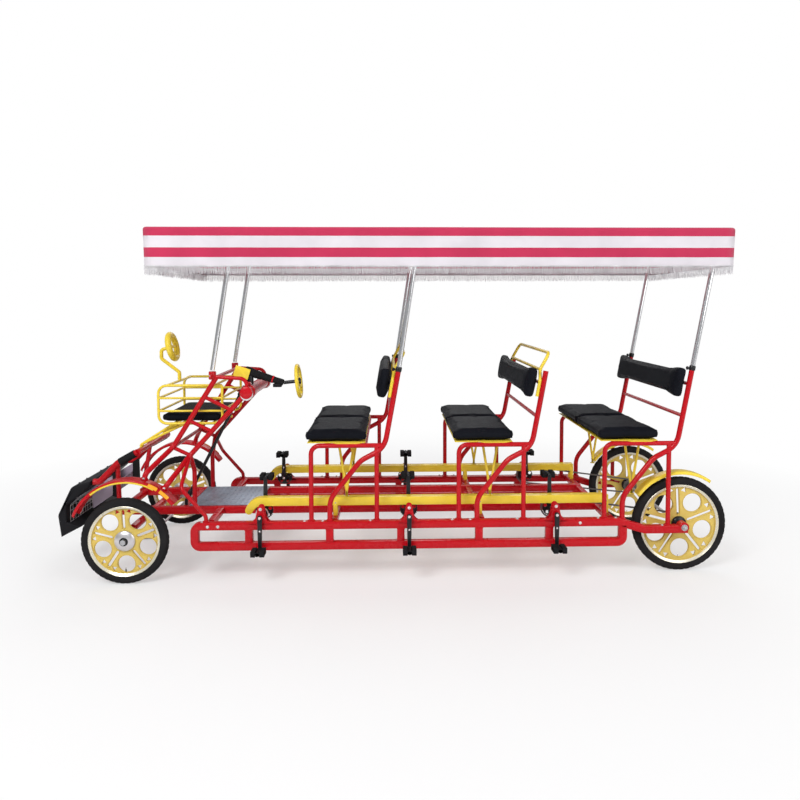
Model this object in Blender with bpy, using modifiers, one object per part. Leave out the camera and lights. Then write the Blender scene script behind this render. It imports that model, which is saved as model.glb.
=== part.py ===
"""Six-seat surrey bike: a welded tube frame with three seat rows, a cloth canopy and four cast wheels.

Metres, +Z up, front towards -X, the vehicle's left side towards -Y. The origin is on the ground, below the
middle of the vehicle's box."""

import math

import bmesh
import bpy
from mathutils import Matrix, Vector

# Fits
GAP = 0.0003
PIN_CLEARANCE = 0.0005
OVERRUN = 0.01
MERGE = 0.00001

# Mesh fineness
TUBE_RESOLUTION = 2
ROD_RESOLUTION = 1
BEND_STEPS = 2
TURN_STEPS = 32
PLATE_SIDES = 16
HOLE_SIDES = 12
ROD_SIDES = 8
RING_SIDES = 20
HEX_FLAT_SHARE = math.cos(math.pi / 6)
CORNER_REACH_SHARE = 0.49
FINE_OVERRUN_SHARE = 0.1

# Wheels
WHEELBASE = 2.938
AXLE_REAR_X = 1.559
AXLE_FRONT_X = AXLE_REAR_X - WHEELBASE
FRONT_WHEEL_RADIUS = 0.224
REAR_WHEEL_RADIUS = 0.255
FRONT_HALF_TRACK = 0.51
REAR_HALF_TRACK = 0.42
TYRE_WIDTH = 0.05
TYRE_DEPTH = 0.042
RIM_DEPTH = 0.014
WHEEL_PLATE = 0.012
SPOKES = 5
HUB_LENGTH = 0.056
FRONT_HUB_RADIUS = 0.053
REAR_HUB_RADIUS = 0.04
SLOT_WIDTH = 0.014
AXLE_RADIUS = 0.0085
AXLE_NUT_RADIUS = 0.015
AXLE_NUT_LENGTH = 0.012
TYRE_BEAD_SHARE = 0.76
TYRE_WALL_SHARE = 0.4
TYRE_CROWN_SHARE = 0.4
RIM_SEAT_SHARE = 0.72
RIM_INNER_SHARE = 0.45
HOLE_RADIUS_SHARE = 0.2
HOLE_RING_SHARE = 0.58
HOLE_TURN_SHARE = 0.79
SLOT_START_SHARE = 1.1
SLOT_END_SHARE = 0.97

# Side frames
RAIL_HALF = 0.021
RAIL_Y = 0.481
UPPER_RAIL_Z = 0.287
LOWER_RAIL_Z = 0.178
RAIL_FRONT_X = -1.028
RAIL_REAR_X = 1.233
RAIL_BEND = 0.05
ARM_Z = 0.244
ARM_STEP_FRONT_X = 1.207
ARM_STEP_REAR_X = 1.351
UPRIGHT_HALF = 0.0195
UPRIGHT_DEPTH_SHARE = 0.95
UPRIGHT_X = (-0.746, -0.324, 0.05, 0.464, 0.839)
BEARING_RADIUS = 0.027
BEARING_LENGTH = 0.05

# Cranks
ROW_PITCH = 0.777
CRANK_FRONT_X = -0.683
CRANK_Z = 0.338
CRANK_SHELL_RADIUS = 0.021
CRANK_SHELL_LENGTH = 0.052
BRACKET_THICKNESS = 0.012
BRACKET_FOOT = 0.05
BRACKET_HEAD = 0.016
BRACKET_TOP_Z = 0.395
SPINDLE_RADIUS = 0.008
CRANK_ARM_LENGTH = 0.163
CRANK_ARM_THICKNESS = 0.012
CRANK_ARM_WIDTH = 0.026
CRANK_OUTER_Y = 0.52
CRANK_INNER_Y = 0.333
CHAINRING_RADIUS = 0.05
CHAINRING_THICKNESS = 0.004
PEDAL_PIN_RADIUS = 0.006
PEDAL_WIDTH = 0.078
PEDAL_LENGTH = 0.07
PEDAL_HEIGHT = 0.03
PEDAL_PIN_GAP = 0.006

# Chain guards and chains
GUARD_Y = 0.376
GUARD_WIDTH = 0.05
GUARD_BOTTOM_Z = 0.368
GUARD_HEIGHT = 0.041
GUARD_WALL = 0.002
GUARD_FRONT_X = -0.786
GUARD_REAR_X = 1.18
GUARD_BEND = 0.09
GUARD_BEND_ANGLE = math.radians(72)
GUARD_STAY_WIDTH = 0.022
CHAIN_THICKNESS = 0.006
CHAIN_DEPTH = 0.008
CHAIN_RUNNING_GAP = 0.0055
SPROCKET_RADIUS = 0.04
SPROCKET_THICKNESS = 0.004

# Floor frame and floor plate
INNER_RAIL_Y = 0.205
INNER_RAIL_Z = 0.295
INNER_RAIL_FRONT_X = -1.54
CROSS_HALF = 0.0165
CROSS_X = (-0.95, -0.3, 0.48, 1.17)
FLOOR_REAR_X = -0.749
FLOOR_FRONT_X = -1.13
FLOOR_THICKNESS = 0.004

# Front axle and steering
BEAM_RADIUS = 0.02
KINGPIN_Y = 0.43
KINGPIN_RADIUS = 0.008
BARREL_RADIUS = 0.017
BARREL_HEIGHT = 0.056
YOKE_THICKNESS = 0.008
YOKE_WIDTH = 0.034
STEER_ARM = 0.11
STEER_ARM_WIDTH = 0.024
STEER_ARM_THICKNESS = 0.01
STEER_ARM_LEVEL_SHARE = 2
STEER_ARM_ROOT_SHARE = 0.6
STUB_ROOT_SHARE = 0.7
COLLAR_SHARE = 0.85
TIE_PIN_RADIUS = 0.006
TIE_ROD_RADIUS = 0.007
TIE_EYE_RADIUS = 0.013
TIE_EYE_HEIGHT = 0.016
TIE_EYE_LIFT = 0.006
COLUMN_Y = 0.2
COLUMN_RADIUS = 0.026
COLUMN_TIP_RADIUS = 0.016
COLUMN_START_X = -0.81
COLUMN_START_Z = 1.075
COLUMN_END_X = -0.6
COLUMN_END_Z = 1.008
SHAFT_RADIUS = 0.009
SHAFT_FOOT_X = -1.16
SHAFT_Y = 0.165
STEERING_WHEEL_RADIUS = 0.087
STEERING_RIM_RADIUS = 0.01
STEERING_SPOKES = 3
STEERING_SPOKE_SHARE = 0.7
COLUMN_STEM_SHARE = 0.8
SHAFT_KNEE_SHARE = 3
STEERING_WHEEL_X = -0.515
STEERING_WHEEL_RISE = math.radians(6)
STEERING_STUB_RADIUS = 0.01
STEERING_HUB_RADIUS = 0.018
STEERING_HUB_LENGTH = 0.016

# Front frame
STRUT_RADIUS = 0.014
STRUT_Y = 0.287
STRUT_FOOT_Y = 0.49
STRUT_A_KNEE = (-1.193, 0.665)
STRUT_A_TOP = (-0.95, 1.05)
STRUT_B_KNEE = (-1.1, 0.62)
STRUT_B_TOP = (-0.787, 0.965)
STRUT_A_FOOT_ANGLE = math.radians(75)
STRUT_B_FOOT_ANGLE = math.radians(53)
STRUT_FOOT_LENGTH = 0.03
STRUT_BEND = 0.05
STEP_SHARES = (0.0, 0.38, 0.72)
THIN_TUBE_SHARE = 0.75
CROSS_TUBE_SHARE = 1.05
DOWN_TUBE_SHARE = 0.9
DOWN_TUBE_DROP_SHARE = 2
BRACE_RISE_SHARE = 4
HEAD_TUBE_RADIUS = 0.034
HEAD_TUBE_HALF = 0.31
DOWN_TUBE_X = -1.1
SOCKET_RADIUS = 0.02
SOCKET_HEIGHT = 0.05
BRACE_FOOT_X = -0.97

# Fenders
FENDER_WALL = 0.003
FENDER_FLANGE = 0.014
FRONT_FENDER_RADIUS = 0.3
FRONT_FENDER_CENTRE = (-1.36, 0.25)
FRONT_FENDER_WIDTH = 0.085
FRONT_FENDER_START = math.radians(35)
FRONT_FENDER_END = math.radians(158)
REAR_FENDER_RADIUS = 0.29
REAR_FENDER_WIDTH = 0.07
REAR_FENDER_START = math.radians(55)
REAR_FENDER_END = math.radians(145)
FENDER_STEPS = 12
FENDER_TAB = 0.02

# Nose
BUMPER_HALF_WIDTH = 0.31
BUMPER_FRONT_X = -1.8155
BUMPER_TOP = (-1.634, 0.486)
BUMPER_BROW = (-1.74, 0.455)
BUMPER_FACE_Z = 0.3
BUMPER_TOE = (-1.8, 0.178)
BUMPER_TAIL = (-1.69, 0.236)
BUMPER_WALL = 0.05
BUMPER_BEND = 0.04
NOSE_TUBE_RADIUS = 0.018
NOSE_TUBE_Y = 0.27
NOSE_KNEE = (-1.5, 0.575)
NOSE_REAR = (-1.39, 0.637)
LAMP_RADIUS = 0.04
LAMP_DEPTH = 0.03
LAMP_Y = 0.2
LAMP_Z = 0.315
BUMPER_TOE_SHARE = 0.9
BUMPER_BROW_SHARE = 1.1
BUMPER_DROP_SHARE = 0.8
BUMPER_LIP_SHARE = 0.5
NOSE_LEVEL_SHARE = 0.25
NOSE_STAY_SHARE = 0.7
NOSE_BAR_SHARE = 0.9
LAMP_BAR_SHARE = 0.5

# Seats
SEAT_FRONT_X = -0.42
SEAT_DEPTH = 0.344
SEAT_Y = 0.48
SEAT_TUBE_Z = 0.705
SEAT_TUBE_RADIUS = 0.0125
SEAT_BEND = 0.045
SEAT_CROSS_SHARE = 2
POST_RADIUS = 0.014
POST_KNEE = (0.385, 0.69)
POST_TOP_RUN = 0.459
POST_TOP_Z = 1.093
SEAT_BRACE_FOOT_RUN = 0.097
SEAT_BRACE_KNEE_Z = 0.42
SEAT_BRACE_SHOULDER = (0.26, 0.625)
SEAT_BRACE_BEND = 0.12
SEAT_CROSS_RADIUS = 0.01
POST_CROSS_SHARES = (0.4, 0.82)
PAN_THICKNESS = 0.004
PAN_FRONT_RUN = -0.02
PAN_REAR_RUN = 0.285
PAN_HALF_WIDTH = 0.488
STRUT_RUN = 0.18
STRUT_SPREAD = 0.045
PAN_STRUT_RADIUS = 0.007
PAN_STRUT_KNEE_SHARE = 4
CUSHION_FRONT_RUN = -0.03
CUSHION_REAR_RUN = 0.29
CUSHION_HEIGHT = 0.066
CUSHION_INNER_Y = 0.012
CUSHION_OUTER_Y = 0.478
CUSHION_EDGE = 0.018
PAD_BOTTOM_Z = 0.945
PAD_HEIGHT = 0.155
PAD_THICKNESS = 0.07
PAD_HALF_WIDTH = 0.49
PAD_EDGE = 0.01
LOOP_RADIUS = 0.009
LOOP_BAR_SHARE = 0.9
LOOP_BOTTOM_Z = 0.955
LOOP_LEAN = 0.05
LOOP_TOP_Z = 1.185
LOOP_BEND = 0.03
LOOP_SHOULDER_Z = 1.045
LOOP_INSET = 0.05

# Canopy, its frame and poles
CANOPY_FRONT_X = -1.226
CANOPY_REAR_X = 1.752
CANOPY_HALF_WIDTH = 0.601
CANOPY_EDGE_Z = 1.832
CANOPY_CROWN = 0.013
CANOPY_BOTTOM_Z = 1.615
CANOPY_WALL = 0.004
CANOPY_PANELS = 6
CANOPY_TUBE_RADIUS = 0.0115
CANOPY_CROSS_SHARE = 0.95
POLE_RADIUS = 0.0125
POLE_LIFT_SHARE = 0.1
FRONT_POLE_FOOT = (-0.972, 1.087)
FRONT_POLE_TOP_X = -0.853
MIDDLE_POLE_TOP_X = 0.1505
REAR_POLE_TOP_X = 1.726

# Child basket
BASKET_HALF_WIDTH = 0.25
BASKET_FRONT_X = -1.278
BASKET_REAR_X = -0.93
BASKET_BOTTOM_Z = 0.79
BASKET_TOP_Z = 1.0
BASKET_BEND = 0.045
BASKET_ROD_RADIUS = 0.0075
BASKET_RAIL_SHARES = (0.33, 0.67)
BASKET_BARS = 4
BASKET_RAIL_ROD_SHARE = 0.8
BASKET_END_ROD_SHARE = 0.92
BASKET_BAR_ROD_SHARE = 0.85
BASKET_LEVEL_SHARE = 1.5
BASKET_KEEL_SHARE = 0.8
BRACKET_ROD_SHARE = 0.9
BASKET_CUSHION_HEIGHT = 0.05
BASKET_CUSHION_INSET = 0.014
BRACKET_SPREAD_SHARES = (0.7, 0.8)
RING_X = -1.27
RING_Z = 1.2
HAND_RING_RADIUS = 0.07
HAND_RING_ROD = 0.018
RING_BAR_SHARE = 0.43
RING_SEAT_SHARE = 0.85
STALK_ROD_SHARE = 0.58
STALK_RISE_SHARE = 2.4
HAND_RING_LEAN = math.radians(12)
RING_STALK_X = -1.335

PAINT = {
    "red": (0.62, 0.01, 0.02, 1.0),
    "yellow": (0.9, 0.62, 0.04, 1.0),
    "black": (0.01, 0.01, 0.012, 1.0),
    "vinyl": (0.012, 0.014, 0.02, 1.0),
    "chrome": (0.75, 0.75, 0.77, 1.0),
    "steel": (0.45, 0.46, 0.48, 1.0),
    "tyre": (0.015, 0.015, 0.016, 1.0),
    "cloth": (0.85, 0.3, 0.42, 1.0),
}
PAINT_ROUGHNESS = 0.3
ROUGHNESS = {"chrome": 0.12, "steel": 0.35, "tyre": 0.85, "cloth": 0.9, "vinyl": 0.45}
METALLIC = {"chrome": 1.0, "steel": 0.9}
SIDES = {"left": -1, "right": 1}
ROW_COUNT = 3

for old in list(bpy.data.objects):
    bpy.data.objects.remove(old)

parts = bpy.data.collections.new("surrey_bike")
bpy.context.scene.collection.children.link(parts)


def paint(name):
    """The Principled material of that paint, made once."""
    found = bpy.data.materials.get(name)
    if found:
        return found
    made = bpy.data.materials.new(name)
    made.use_nodes = True
    shader = made.node_tree.nodes["Principled BSDF"]
    shader.inputs["Base Color"].default_value = PAINT[name]
    shader.inputs["Roughness"].default_value = ROUGHNESS.get(name, PAINT_ROUGHNESS)
    shader.inputs["Metallic"].default_value = METALLIC.get(name, 0.0)
    return made


def new_object(mesh):
    """A working object for the mesh, in the scene but in no part's collection yet."""
    obj = bpy.data.objects.new("piece", mesh)
    bpy.context.scene.collection.objects.link(obj)
    return obj


def from_bmesh(bm):
    """A working object for the bmesh, its faces pointing out."""
    bmesh.ops.recalc_face_normals(bm, faces=bm.faces)
    mesh = bpy.data.meshes.new("piece")
    bm.to_mesh(mesh)
    bm.free()
    return new_object(mesh)


def evaluated(obj):
    """The object's mesh with its modifiers, welded, in place of the object."""
    bpy.context.view_layer.update()
    mesh = bpy.data.meshes.new_from_object(obj.evaluated_get(bpy.context.evaluated_depsgraph_get()))
    bm = bmesh.new()
    bm.from_mesh(mesh)
    bm.transform(obj.matrix_world)
    bmesh.ops.remove_doubles(bm, verts=bm.verts, dist=MERGE)
    bpy.data.objects.remove(obj)
    return from_bmesh(bm)


def box(low, high):
    """A box between two opposite corners."""
    bm = bmesh.new()
    bmesh.ops.create_cube(bm, size=1.0)
    low, high = Vector(low), Vector(high)
    bmesh.ops.scale(bm, vec=high - low, verts=bm.verts)
    bmesh.ops.translate(bm, vec=(high + low) / 2, verts=bm.verts)
    return from_bmesh(bm)


def rod(start, end, radius, end_radius=None, sides=ROD_SIDES):
    """A round rod or cone between two points."""
    start, end = Vector(start), Vector(end)
    along = end - start
    bm = bmesh.new()
    tip = radius if end_radius is None else end_radius
    bmesh.ops.create_cone(bm, cap_ends=True, segments=sides, radius1=radius, radius2=tip, depth=along.length)
    turn = Vector((0, 0, 1)).rotation_difference(along).to_matrix().to_4x4()
    bm.transform(Matrix.Translation((start + end) / 2) @ turn)
    return from_bmesh(bm)


def rounded(points, bend):
    """The points of a path whose corners are rounded to the bend radius."""
    points = [Vector(p) for p in points]
    path = [points[0]]
    for before, corner, after in zip(points, points[1:], points[2:]):
        back, ahead = before - corner, after - corner
        half = back.angle(ahead) / 2
        reach = min(bend / math.tan(half), min(back.length, ahead.length) * CORNER_REACH_SHARE)
        radius = reach * math.tan(half)
        middle = corner + (back.normalized() + ahead.normalized()).normalized() * (radius / math.sin(half))
        first = corner + back.normalized() * reach - middle
        last = corner + ahead.normalized() * reach - middle
        sweep = first.angle(last)
        for step in range(BEND_STEPS + 1):
            share = step / BEND_STEPS
            turned = first * math.sin((1 - share) * sweep) + last * math.sin(share * sweep)
            path.append(middle + turned / math.sin(sweep))
    path.append(points[-1])
    return path


def rounded_loop(points, bend):
    """The x and z of a closed outline whose corners are rounded to the bend radius."""
    corners = [Vector((x, 0, z)) for x, z in points]
    middle = (corners[-1] + corners[0]) / 2
    return [(v.x, v.z) for v in rounded([middle, *corners, middle], bend)[:-1]]


def tube(points, radius, bend=None, resolution=TUBE_RESOLUTION):
    """A round tube along a path, its corners rounded where a bend radius is given."""
    path = rounded(points, bend) if bend else [Vector(p) for p in points]
    curve = bpy.data.curves.new("tube", "CURVE")
    curve.dimensions = "3D"
    curve.bevel_depth = radius
    curve.bevel_resolution = resolution
    curve.use_fill_caps = True
    spline = curve.splines.new("POLY")
    spline.points.add(len(path) - 1)
    for point, place in zip(spline.points, path):
        point.co = (*place, 1)
    obj = bpy.data.objects.new("tube", curve)
    bpy.context.scene.collection.objects.link(obj)
    return evaluated(obj)


def side_tube(y, points, radius, bend=None, resolution=TUBE_RESOLUTION):
    """A tube in the plane at that y, from points given as x and z."""
    return tube([(x, y, z) for x, z in points], radius, bend, resolution)


def outline(loops, y, thickness):
    """A flat plate in the XZ plane, centred on that y; later loops are holes in the first."""
    curve = bpy.data.curves.new("outline", "CURVE")
    curve.dimensions = "2D"
    curve.fill_mode = "BOTH"
    curve.extrude = thickness / 2
    for loop in loops:
        spline = curve.splines.new("POLY")
        spline.use_cyclic_u = True
        spline.points.add(len(loop) - 1)
        for point, (x, z) in zip(spline.points, loop):
            point.co = (x, z, 0, 1)
    obj = bpy.data.objects.new("outline", curve)
    bpy.context.scene.collection.objects.link(obj)
    obj.rotation_euler = (math.pi / 2, 0, 0)
    obj.location = (0, y, 0)
    return evaluated(obj)


def turned(profile, centre):
    """A ring about the Y axis through the centre, from a closed profile of radius and y."""
    bm = bmesh.new()
    ring = [bm.verts.new((r, 0, y)) for r, y in profile]
    for a, b in zip(ring, ring[1:] + ring[:1]):
        bm.edges.new((a, b))
    mesh = bpy.data.meshes.new("turned")
    bm.to_mesh(mesh)
    bm.free()
    obj = new_object(mesh)
    screw = obj.modifiers.new("screw", "SCREW")
    screw.steps = TURN_STEPS
    screw.render_steps = TURN_STEPS
    screw.use_merge_vertices = True
    screw.merge_threshold = MERGE
    obj.rotation_euler = (-math.pi / 2, 0, 0)
    obj.location = centre
    return evaluated(obj)


def torus(centre, axis, radius, thickness, sides=ROD_SIDES):
    """A ring of round rod about the axis."""
    bm = bmesh.new()
    for i in range(sides):
        angle = math.tau * i / sides
        bm.verts.new((radius + thickness * math.cos(angle), 0, thickness * math.sin(angle)))
    bm.verts.ensure_lookup_table()
    for i in range(sides):
        bm.edges.new((bm.verts[i], bm.verts[(i + 1) % sides]))
    around = {"cent": (0, 0, 0), "axis": (0, 0, 1), "angle": math.tau, "steps": RING_SIDES}
    bmesh.ops.spin(bm, geom=bm.verts[:] + bm.edges[:], use_merge=True, **around)
    bmesh.ops.remove_doubles(bm, verts=bm.verts, dist=MERGE)
    turn = Vector((0, 0, 1)).rotation_difference(Vector(axis)).to_matrix().to_4x4()
    bm.transform(Matrix.Translation(centre) @ turn)
    return from_bmesh(bm)


def fuse(pieces, cutters=()):
    """One closed body: the pieces joined, then the cutters taken out."""
    body = pieces[0]
    for piece in pieces[1:]:
        join = body.modifiers.new("join", "BOOLEAN")
        join.operation = "UNION"
        join.object = piece
    for cutter in cutters:
        cut = body.modifiers.new("cut", "BOOLEAN")
        cut.operation = "DIFFERENCE"
        cut.object = cutter
    whole = evaluated(body)
    for used in [*pieces[1:], *cutters]:
        bpy.data.objects.remove(used)
    return whole


def part(name, colour, pieces, cutters=(), origin=(0, 0, 0), collection=parts):
    """Fuses the pieces into the named part, with its origin where its joint or seat is."""
    whole = fuse(pieces, cutters) if len(pieces) + len(cutters) > 1 else pieces[0]
    whole.name = name
    whole.data.name = name
    whole.data.transform(Matrix.Translation(-Vector(origin)))
    whole.location = origin
    whole.data.materials.clear()
    whole.data.materials.append(paint(colour))
    whole.data.shade_smooth()
    whole.data.set_sharp_from_angle(angle=math.radians(35))
    bpy.context.scene.collection.objects.unlink(whole)
    collection.objects.link(whole)
    return whole


def between(a, b, share):
    """The point at that share of the way from a to b."""
    return tuple(p + (q - p) * share for p, q in zip(a, b))


def polar(centre, radius, angle):
    """The x and z at that radius and angle from a centre."""
    return centre[0] + radius * math.cos(angle), centre[1] + radius * math.sin(angle)


def sweep_sheet(section, centre, start, end, wall):
    """A sheet spun about the Y axis through the centre, from a section of radius and y."""
    bm = bmesh.new()
    line = []
    for r, y in section:
        line.append(bm.verts.new((centre[0] + r * math.cos(start), y, centre[1] + r * math.sin(start))))
    edges = [bm.edges.new(pair) for pair in zip(line, line[1:])]
    cent = (centre[0], 0, centre[1])
    bmesh.ops.spin(bm, geom=line + edges, cent=cent, axis=(0, -1, 0), angle=end - start, steps=FENDER_STEPS)
    bmesh.ops.remove_doubles(bm, verts=bm.verts, dist=MERGE)
    middle = sum(y for r, y in section) / len(section)
    return thicken(bm, wall, Vector((centre[0], middle, centre[1])))


def thicken(bm, wall, inside):
    """Solidifies an open sheet, its wall growing towards the point inside."""
    bmesh.ops.recalc_face_normals(bm, faces=bm.faces)
    bm.faces.ensure_lookup_table()
    middle = bm.faces[len(bm.faces) // 2]
    if middle.normal.dot(middle.calc_center_median() - inside) < 0:
        bmesh.ops.reverse_faces(bm, faces=bm.faces)
    mesh = bpy.data.meshes.new("sheet")
    bm.to_mesh(mesh)
    bm.free()
    obj = new_object(mesh)
    solid = obj.modifiers.new("solid", "SOLIDIFY")
    solid.thickness = wall
    solid.offset = -1
    solid.use_even_offset = True
    return evaluated(obj)


def wheel(name, radius, centre, hub_radius):
    """A tyre and the cast wheel in it: rim, five slotted spokes, five round holes and a bored hub."""
    half = TYRE_WIDTH / 2
    bead = radius - TYRE_DEPTH
    profile = [
        (bead, half * TYRE_BEAD_SHARE),
        (radius - TYRE_DEPTH * TYRE_WALL_SHARE, half),
        (radius, half * TYRE_CROWN_SHARE),
    ]
    profile += [(r, -y) for r, y in reversed(profile)]
    part("tyre_" + name, "tyre", [turned(profile, centre)], origin=centre)
    seat = bead - GAP
    inner = seat - RIM_DEPTH
    rim = [(seat, half * RIM_SEAT_SHARE), (inner, half * RIM_INNER_SHARE)]
    rim += [(r, -y) for r, y in reversed(rim)]
    middle = Vector(centre)
    out = Vector((0, 1, 0))
    face = out * WHEEL_PLATE / 2
    plate = rod(middle - face, middle + face, inner + RIM_DEPTH / 2, sides=PLATE_SIDES)
    hub = rod(middle - out * HUB_LENGTH / 2, middle + out * HUB_LENGTH / 2, hub_radius, sides=PLATE_SIDES)
    cutters = []
    hole = radius * HOLE_RADIUS_SHARE
    ring = hub_radius + (inner - hub_radius) * HOLE_RING_SHARE
    deep = out * HUB_LENGTH
    for spoke in range(SPOKES):
        angle = math.tau * (spoke + HOLE_TURN_SHARE) / SPOKES
        x, z = polar((centre[0], centre[2]), ring, angle)
        place = Vector((x, centre[1], z))
        cutters.append(rod(place - deep, place + deep, hole, sides=ROD_SIDES))
        angle += math.pi / SPOKES
        start, end = hub_radius * SLOT_START_SHARE, inner * SLOT_END_SHARE
        slot = box((start, -WHEEL_PLATE, -SLOT_WIDTH / 2), (end, WHEEL_PLATE, SLOT_WIDTH / 2))
        slot.data.transform(Matrix.Translation(centre) @ Matrix.Rotation(-angle, 4, "Y"))
        cutters.append(slot)
    cutters.append(rod(middle - deep, middle + deep, AXLE_RADIUS + PIN_CLEARANCE, sides=HOLE_SIDES))
    part("wheel_" + name, "yellow", [turned(rim, centre), plate, hub], cutters, origin=centre)


def wheels():
    """The two small front wheels and the two larger rear ones."""
    for side, sign in SIDES.items():
        front = (AXLE_FRONT_X, sign * FRONT_HALF_TRACK, FRONT_WHEEL_RADIUS)
        rear = (AXLE_REAR_X, sign * REAR_HALF_TRACK, REAR_WHEEL_RADIUS)
        wheel("front_" + side, FRONT_WHEEL_RADIUS, front, FRONT_HUB_RADIUS)
        wheel("rear_" + side, REAR_WHEEL_RADIUS, rear, REAR_HUB_RADIUS)


def crank_places():
    """The x of each row's crank."""
    return [CRANK_FRONT_X + row * ROW_PITCH for row in range(ROW_COUNT)]


def seat_places():
    """The x of each row's front seat leg."""
    return [SEAT_FRONT_X + row * ROW_PITCH for row in range(ROW_COUNT)]


def crank_bracket(x, y):
    """The gusset and shell that carry a crank on the upper rail."""
    loop = [(x - BRACKET_FOOT, UPPER_RAIL_Z), (x + BRACKET_FOOT, UPPER_RAIL_Z)]
    foot = UPPER_RAIL_Z + RAIL_HALF
    loop.append((x + BRACKET_FOOT, foot))
    head = BRACKET_TOP_Z - BRACKET_HEAD
    for step in range(BEND_STEPS + 1):
        loop.append(polar((x, head), BRACKET_HEAD, math.pi * step / BEND_STEPS))
    loop.append((x - BRACKET_FOOT, foot))
    half = CRANK_SHELL_LENGTH / 2
    shell = rod((x, y - half, CRANK_Z), (x, y + half, CRANK_Z), CRANK_SHELL_RADIUS)
    return [outline([loop], y, BRACKET_THICKNESS), shell]


def rail_top(x):
    """The height of a side frame's top face at that x: level, then stepping down along the rear arm."""
    share = (x - ARM_STEP_FRONT_X) / (ARM_STEP_REAR_X - ARM_STEP_FRONT_X)
    return UPPER_RAIL_Z + RAIL_HALF + (ARM_Z - UPPER_RAIL_Z) * min(max(share, 0), 1)


def side_frame_loops():
    """The outline of a side frame of square tube, and the long window between its rails."""
    half = RAIL_HALF
    rear = RAIL_REAR_X + half
    under = rail_top(rear) - 2 * half
    outer = [
        (RAIL_FRONT_X - half, LOWER_RAIL_Z - half),
        (rear, LOWER_RAIL_Z - half),
        (rear, under),
        (ARM_STEP_REAR_X, ARM_Z - half),
        (AXLE_REAR_X + half, ARM_Z - half),
        (AXLE_REAR_X + half, ARM_Z + half),
        (ARM_STEP_REAR_X, ARM_Z + half),
        (ARM_STEP_FRONT_X, UPPER_RAIL_Z + half),
        (RAIL_FRONT_X - half, UPPER_RAIL_Z + half),
    ]
    bottom, top = LOWER_RAIL_Z + half, UPPER_RAIL_Z - half
    front, back = RAIL_FRONT_X + half, RAIL_REAR_X - half
    window = [(front, bottom), (front, top), (back, top), (back, bottom)]
    return [rounded_loop(outer, RAIL_BEND), rounded_loop(window, half)]


def side_frames():
    """Each side's ladder of square tube, its rear arm with the axle bearing, and its crank brackets."""
    for side, sign in SIDES.items():
        y = sign * RAIL_Y
        pieces = [outline(side_frame_loops(), y, 2 * RAIL_HALF)]
        deep = RAIL_HALF * UPRIGHT_DEPTH_SHARE
        for x in UPRIGHT_X:
            pieces.append(box((x - UPRIGHT_HALF, y - deep, LOWER_RAIL_Z),
                              (x + UPRIGHT_HALF, y + deep, UPPER_RAIL_Z)))
        half = BEARING_LENGTH / 2
        ends = [(AXLE_REAR_X, y + s * half, REAR_WHEEL_RADIUS) for s in (-1, 1)]
        pieces.append(rod(*ends, BEARING_RADIUS, sides=PLATE_SIDES))
        reach = [(AXLE_REAR_X, y + s * (half + OVERRUN), REAR_WHEEL_RADIUS) for s in (-1, 1)]
        cutters = [rod(*reach, AXLE_RADIUS + PIN_CLEARANCE, sides=HOLE_SIDES)]
        for x in crank_places():
            pieces += crank_bracket(x, y)
            span = CRANK_SHELL_LENGTH / 2 + OVERRUN
            bore = SPINDLE_RADIUS + PIN_CLEARANCE
            cutters.append(rod((x, y - span, CRANK_Z), (x, y + span, CRANK_Z), bore, sides=HOLE_SIDES))
        part("side_frame_" + side, "red", pieces, cutters)


def cranks():
    """Each crank: a spindle through its shell, arms opposite each other, a chainring and two pedals."""
    for side, sign in SIDES.items():
        for row, x in enumerate(crank_places(), 1):
            outer = CRANK_OUTER_Y + CRANK_ARM_THICKNESS
            pieces = [rod((x, sign * CRANK_INNER_Y, CRANK_Z), (x, sign * outer, CRANK_Z), SPINDLE_RADIUS)]
            ring = [(x, sign * GUARD_Y + s * CHAINRING_THICKNESS / 2, CRANK_Z) for s in (-1, 1)]
            pieces.append(rod(*ring, CHAINRING_RADIUS, sides=PLATE_SIDES))
            arms = ((CRANK_OUTER_Y, -1, 1), (CRANK_INNER_Y, 1, -1))
            for inner_y, hang, away in arms:
                tip = CRANK_Z + hang * CRANK_ARM_LENGTH
                half = CRANK_ARM_WIDTH / 2
                over = hang * half
                near = sign * inner_y
                far = sign * (inner_y + CRANK_ARM_THICKNESS)
                pieces.append(box((x - half, min(near, far), min(CRANK_Z - over, tip + over)),
                                  (x + half, max(near, far), max(CRANK_Z - over, tip + over))))
                face = inner_y + (CRANK_ARM_THICKNESS if away > 0 else 0)
                start = face + away * PEDAL_PIN_GAP
                end = start + away * PEDAL_WIDTH
                root = inner_y + CRANK_ARM_THICKNESS / 2
                pin_end = (start + end) / 2
                pieces.append(rod((x, sign * root, tip), (x, sign * pin_end, tip), PEDAL_PIN_RADIUS))
                low = sign * min(start, end) if sign > 0 else sign * max(start, end)
                high = sign * max(start, end) if sign > 0 else sign * min(start, end)
                pieces.append(box((x - PEDAL_LENGTH / 2, low, tip - PEDAL_HEIGHT / 2),
                                  (x + PEDAL_LENGTH / 2, high, tip + PEDAL_HEIGHT / 2)))
            part("crank_%s_%d" % (side, row), "black", pieces, origin=(x, 0, CRANK_Z))


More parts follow.
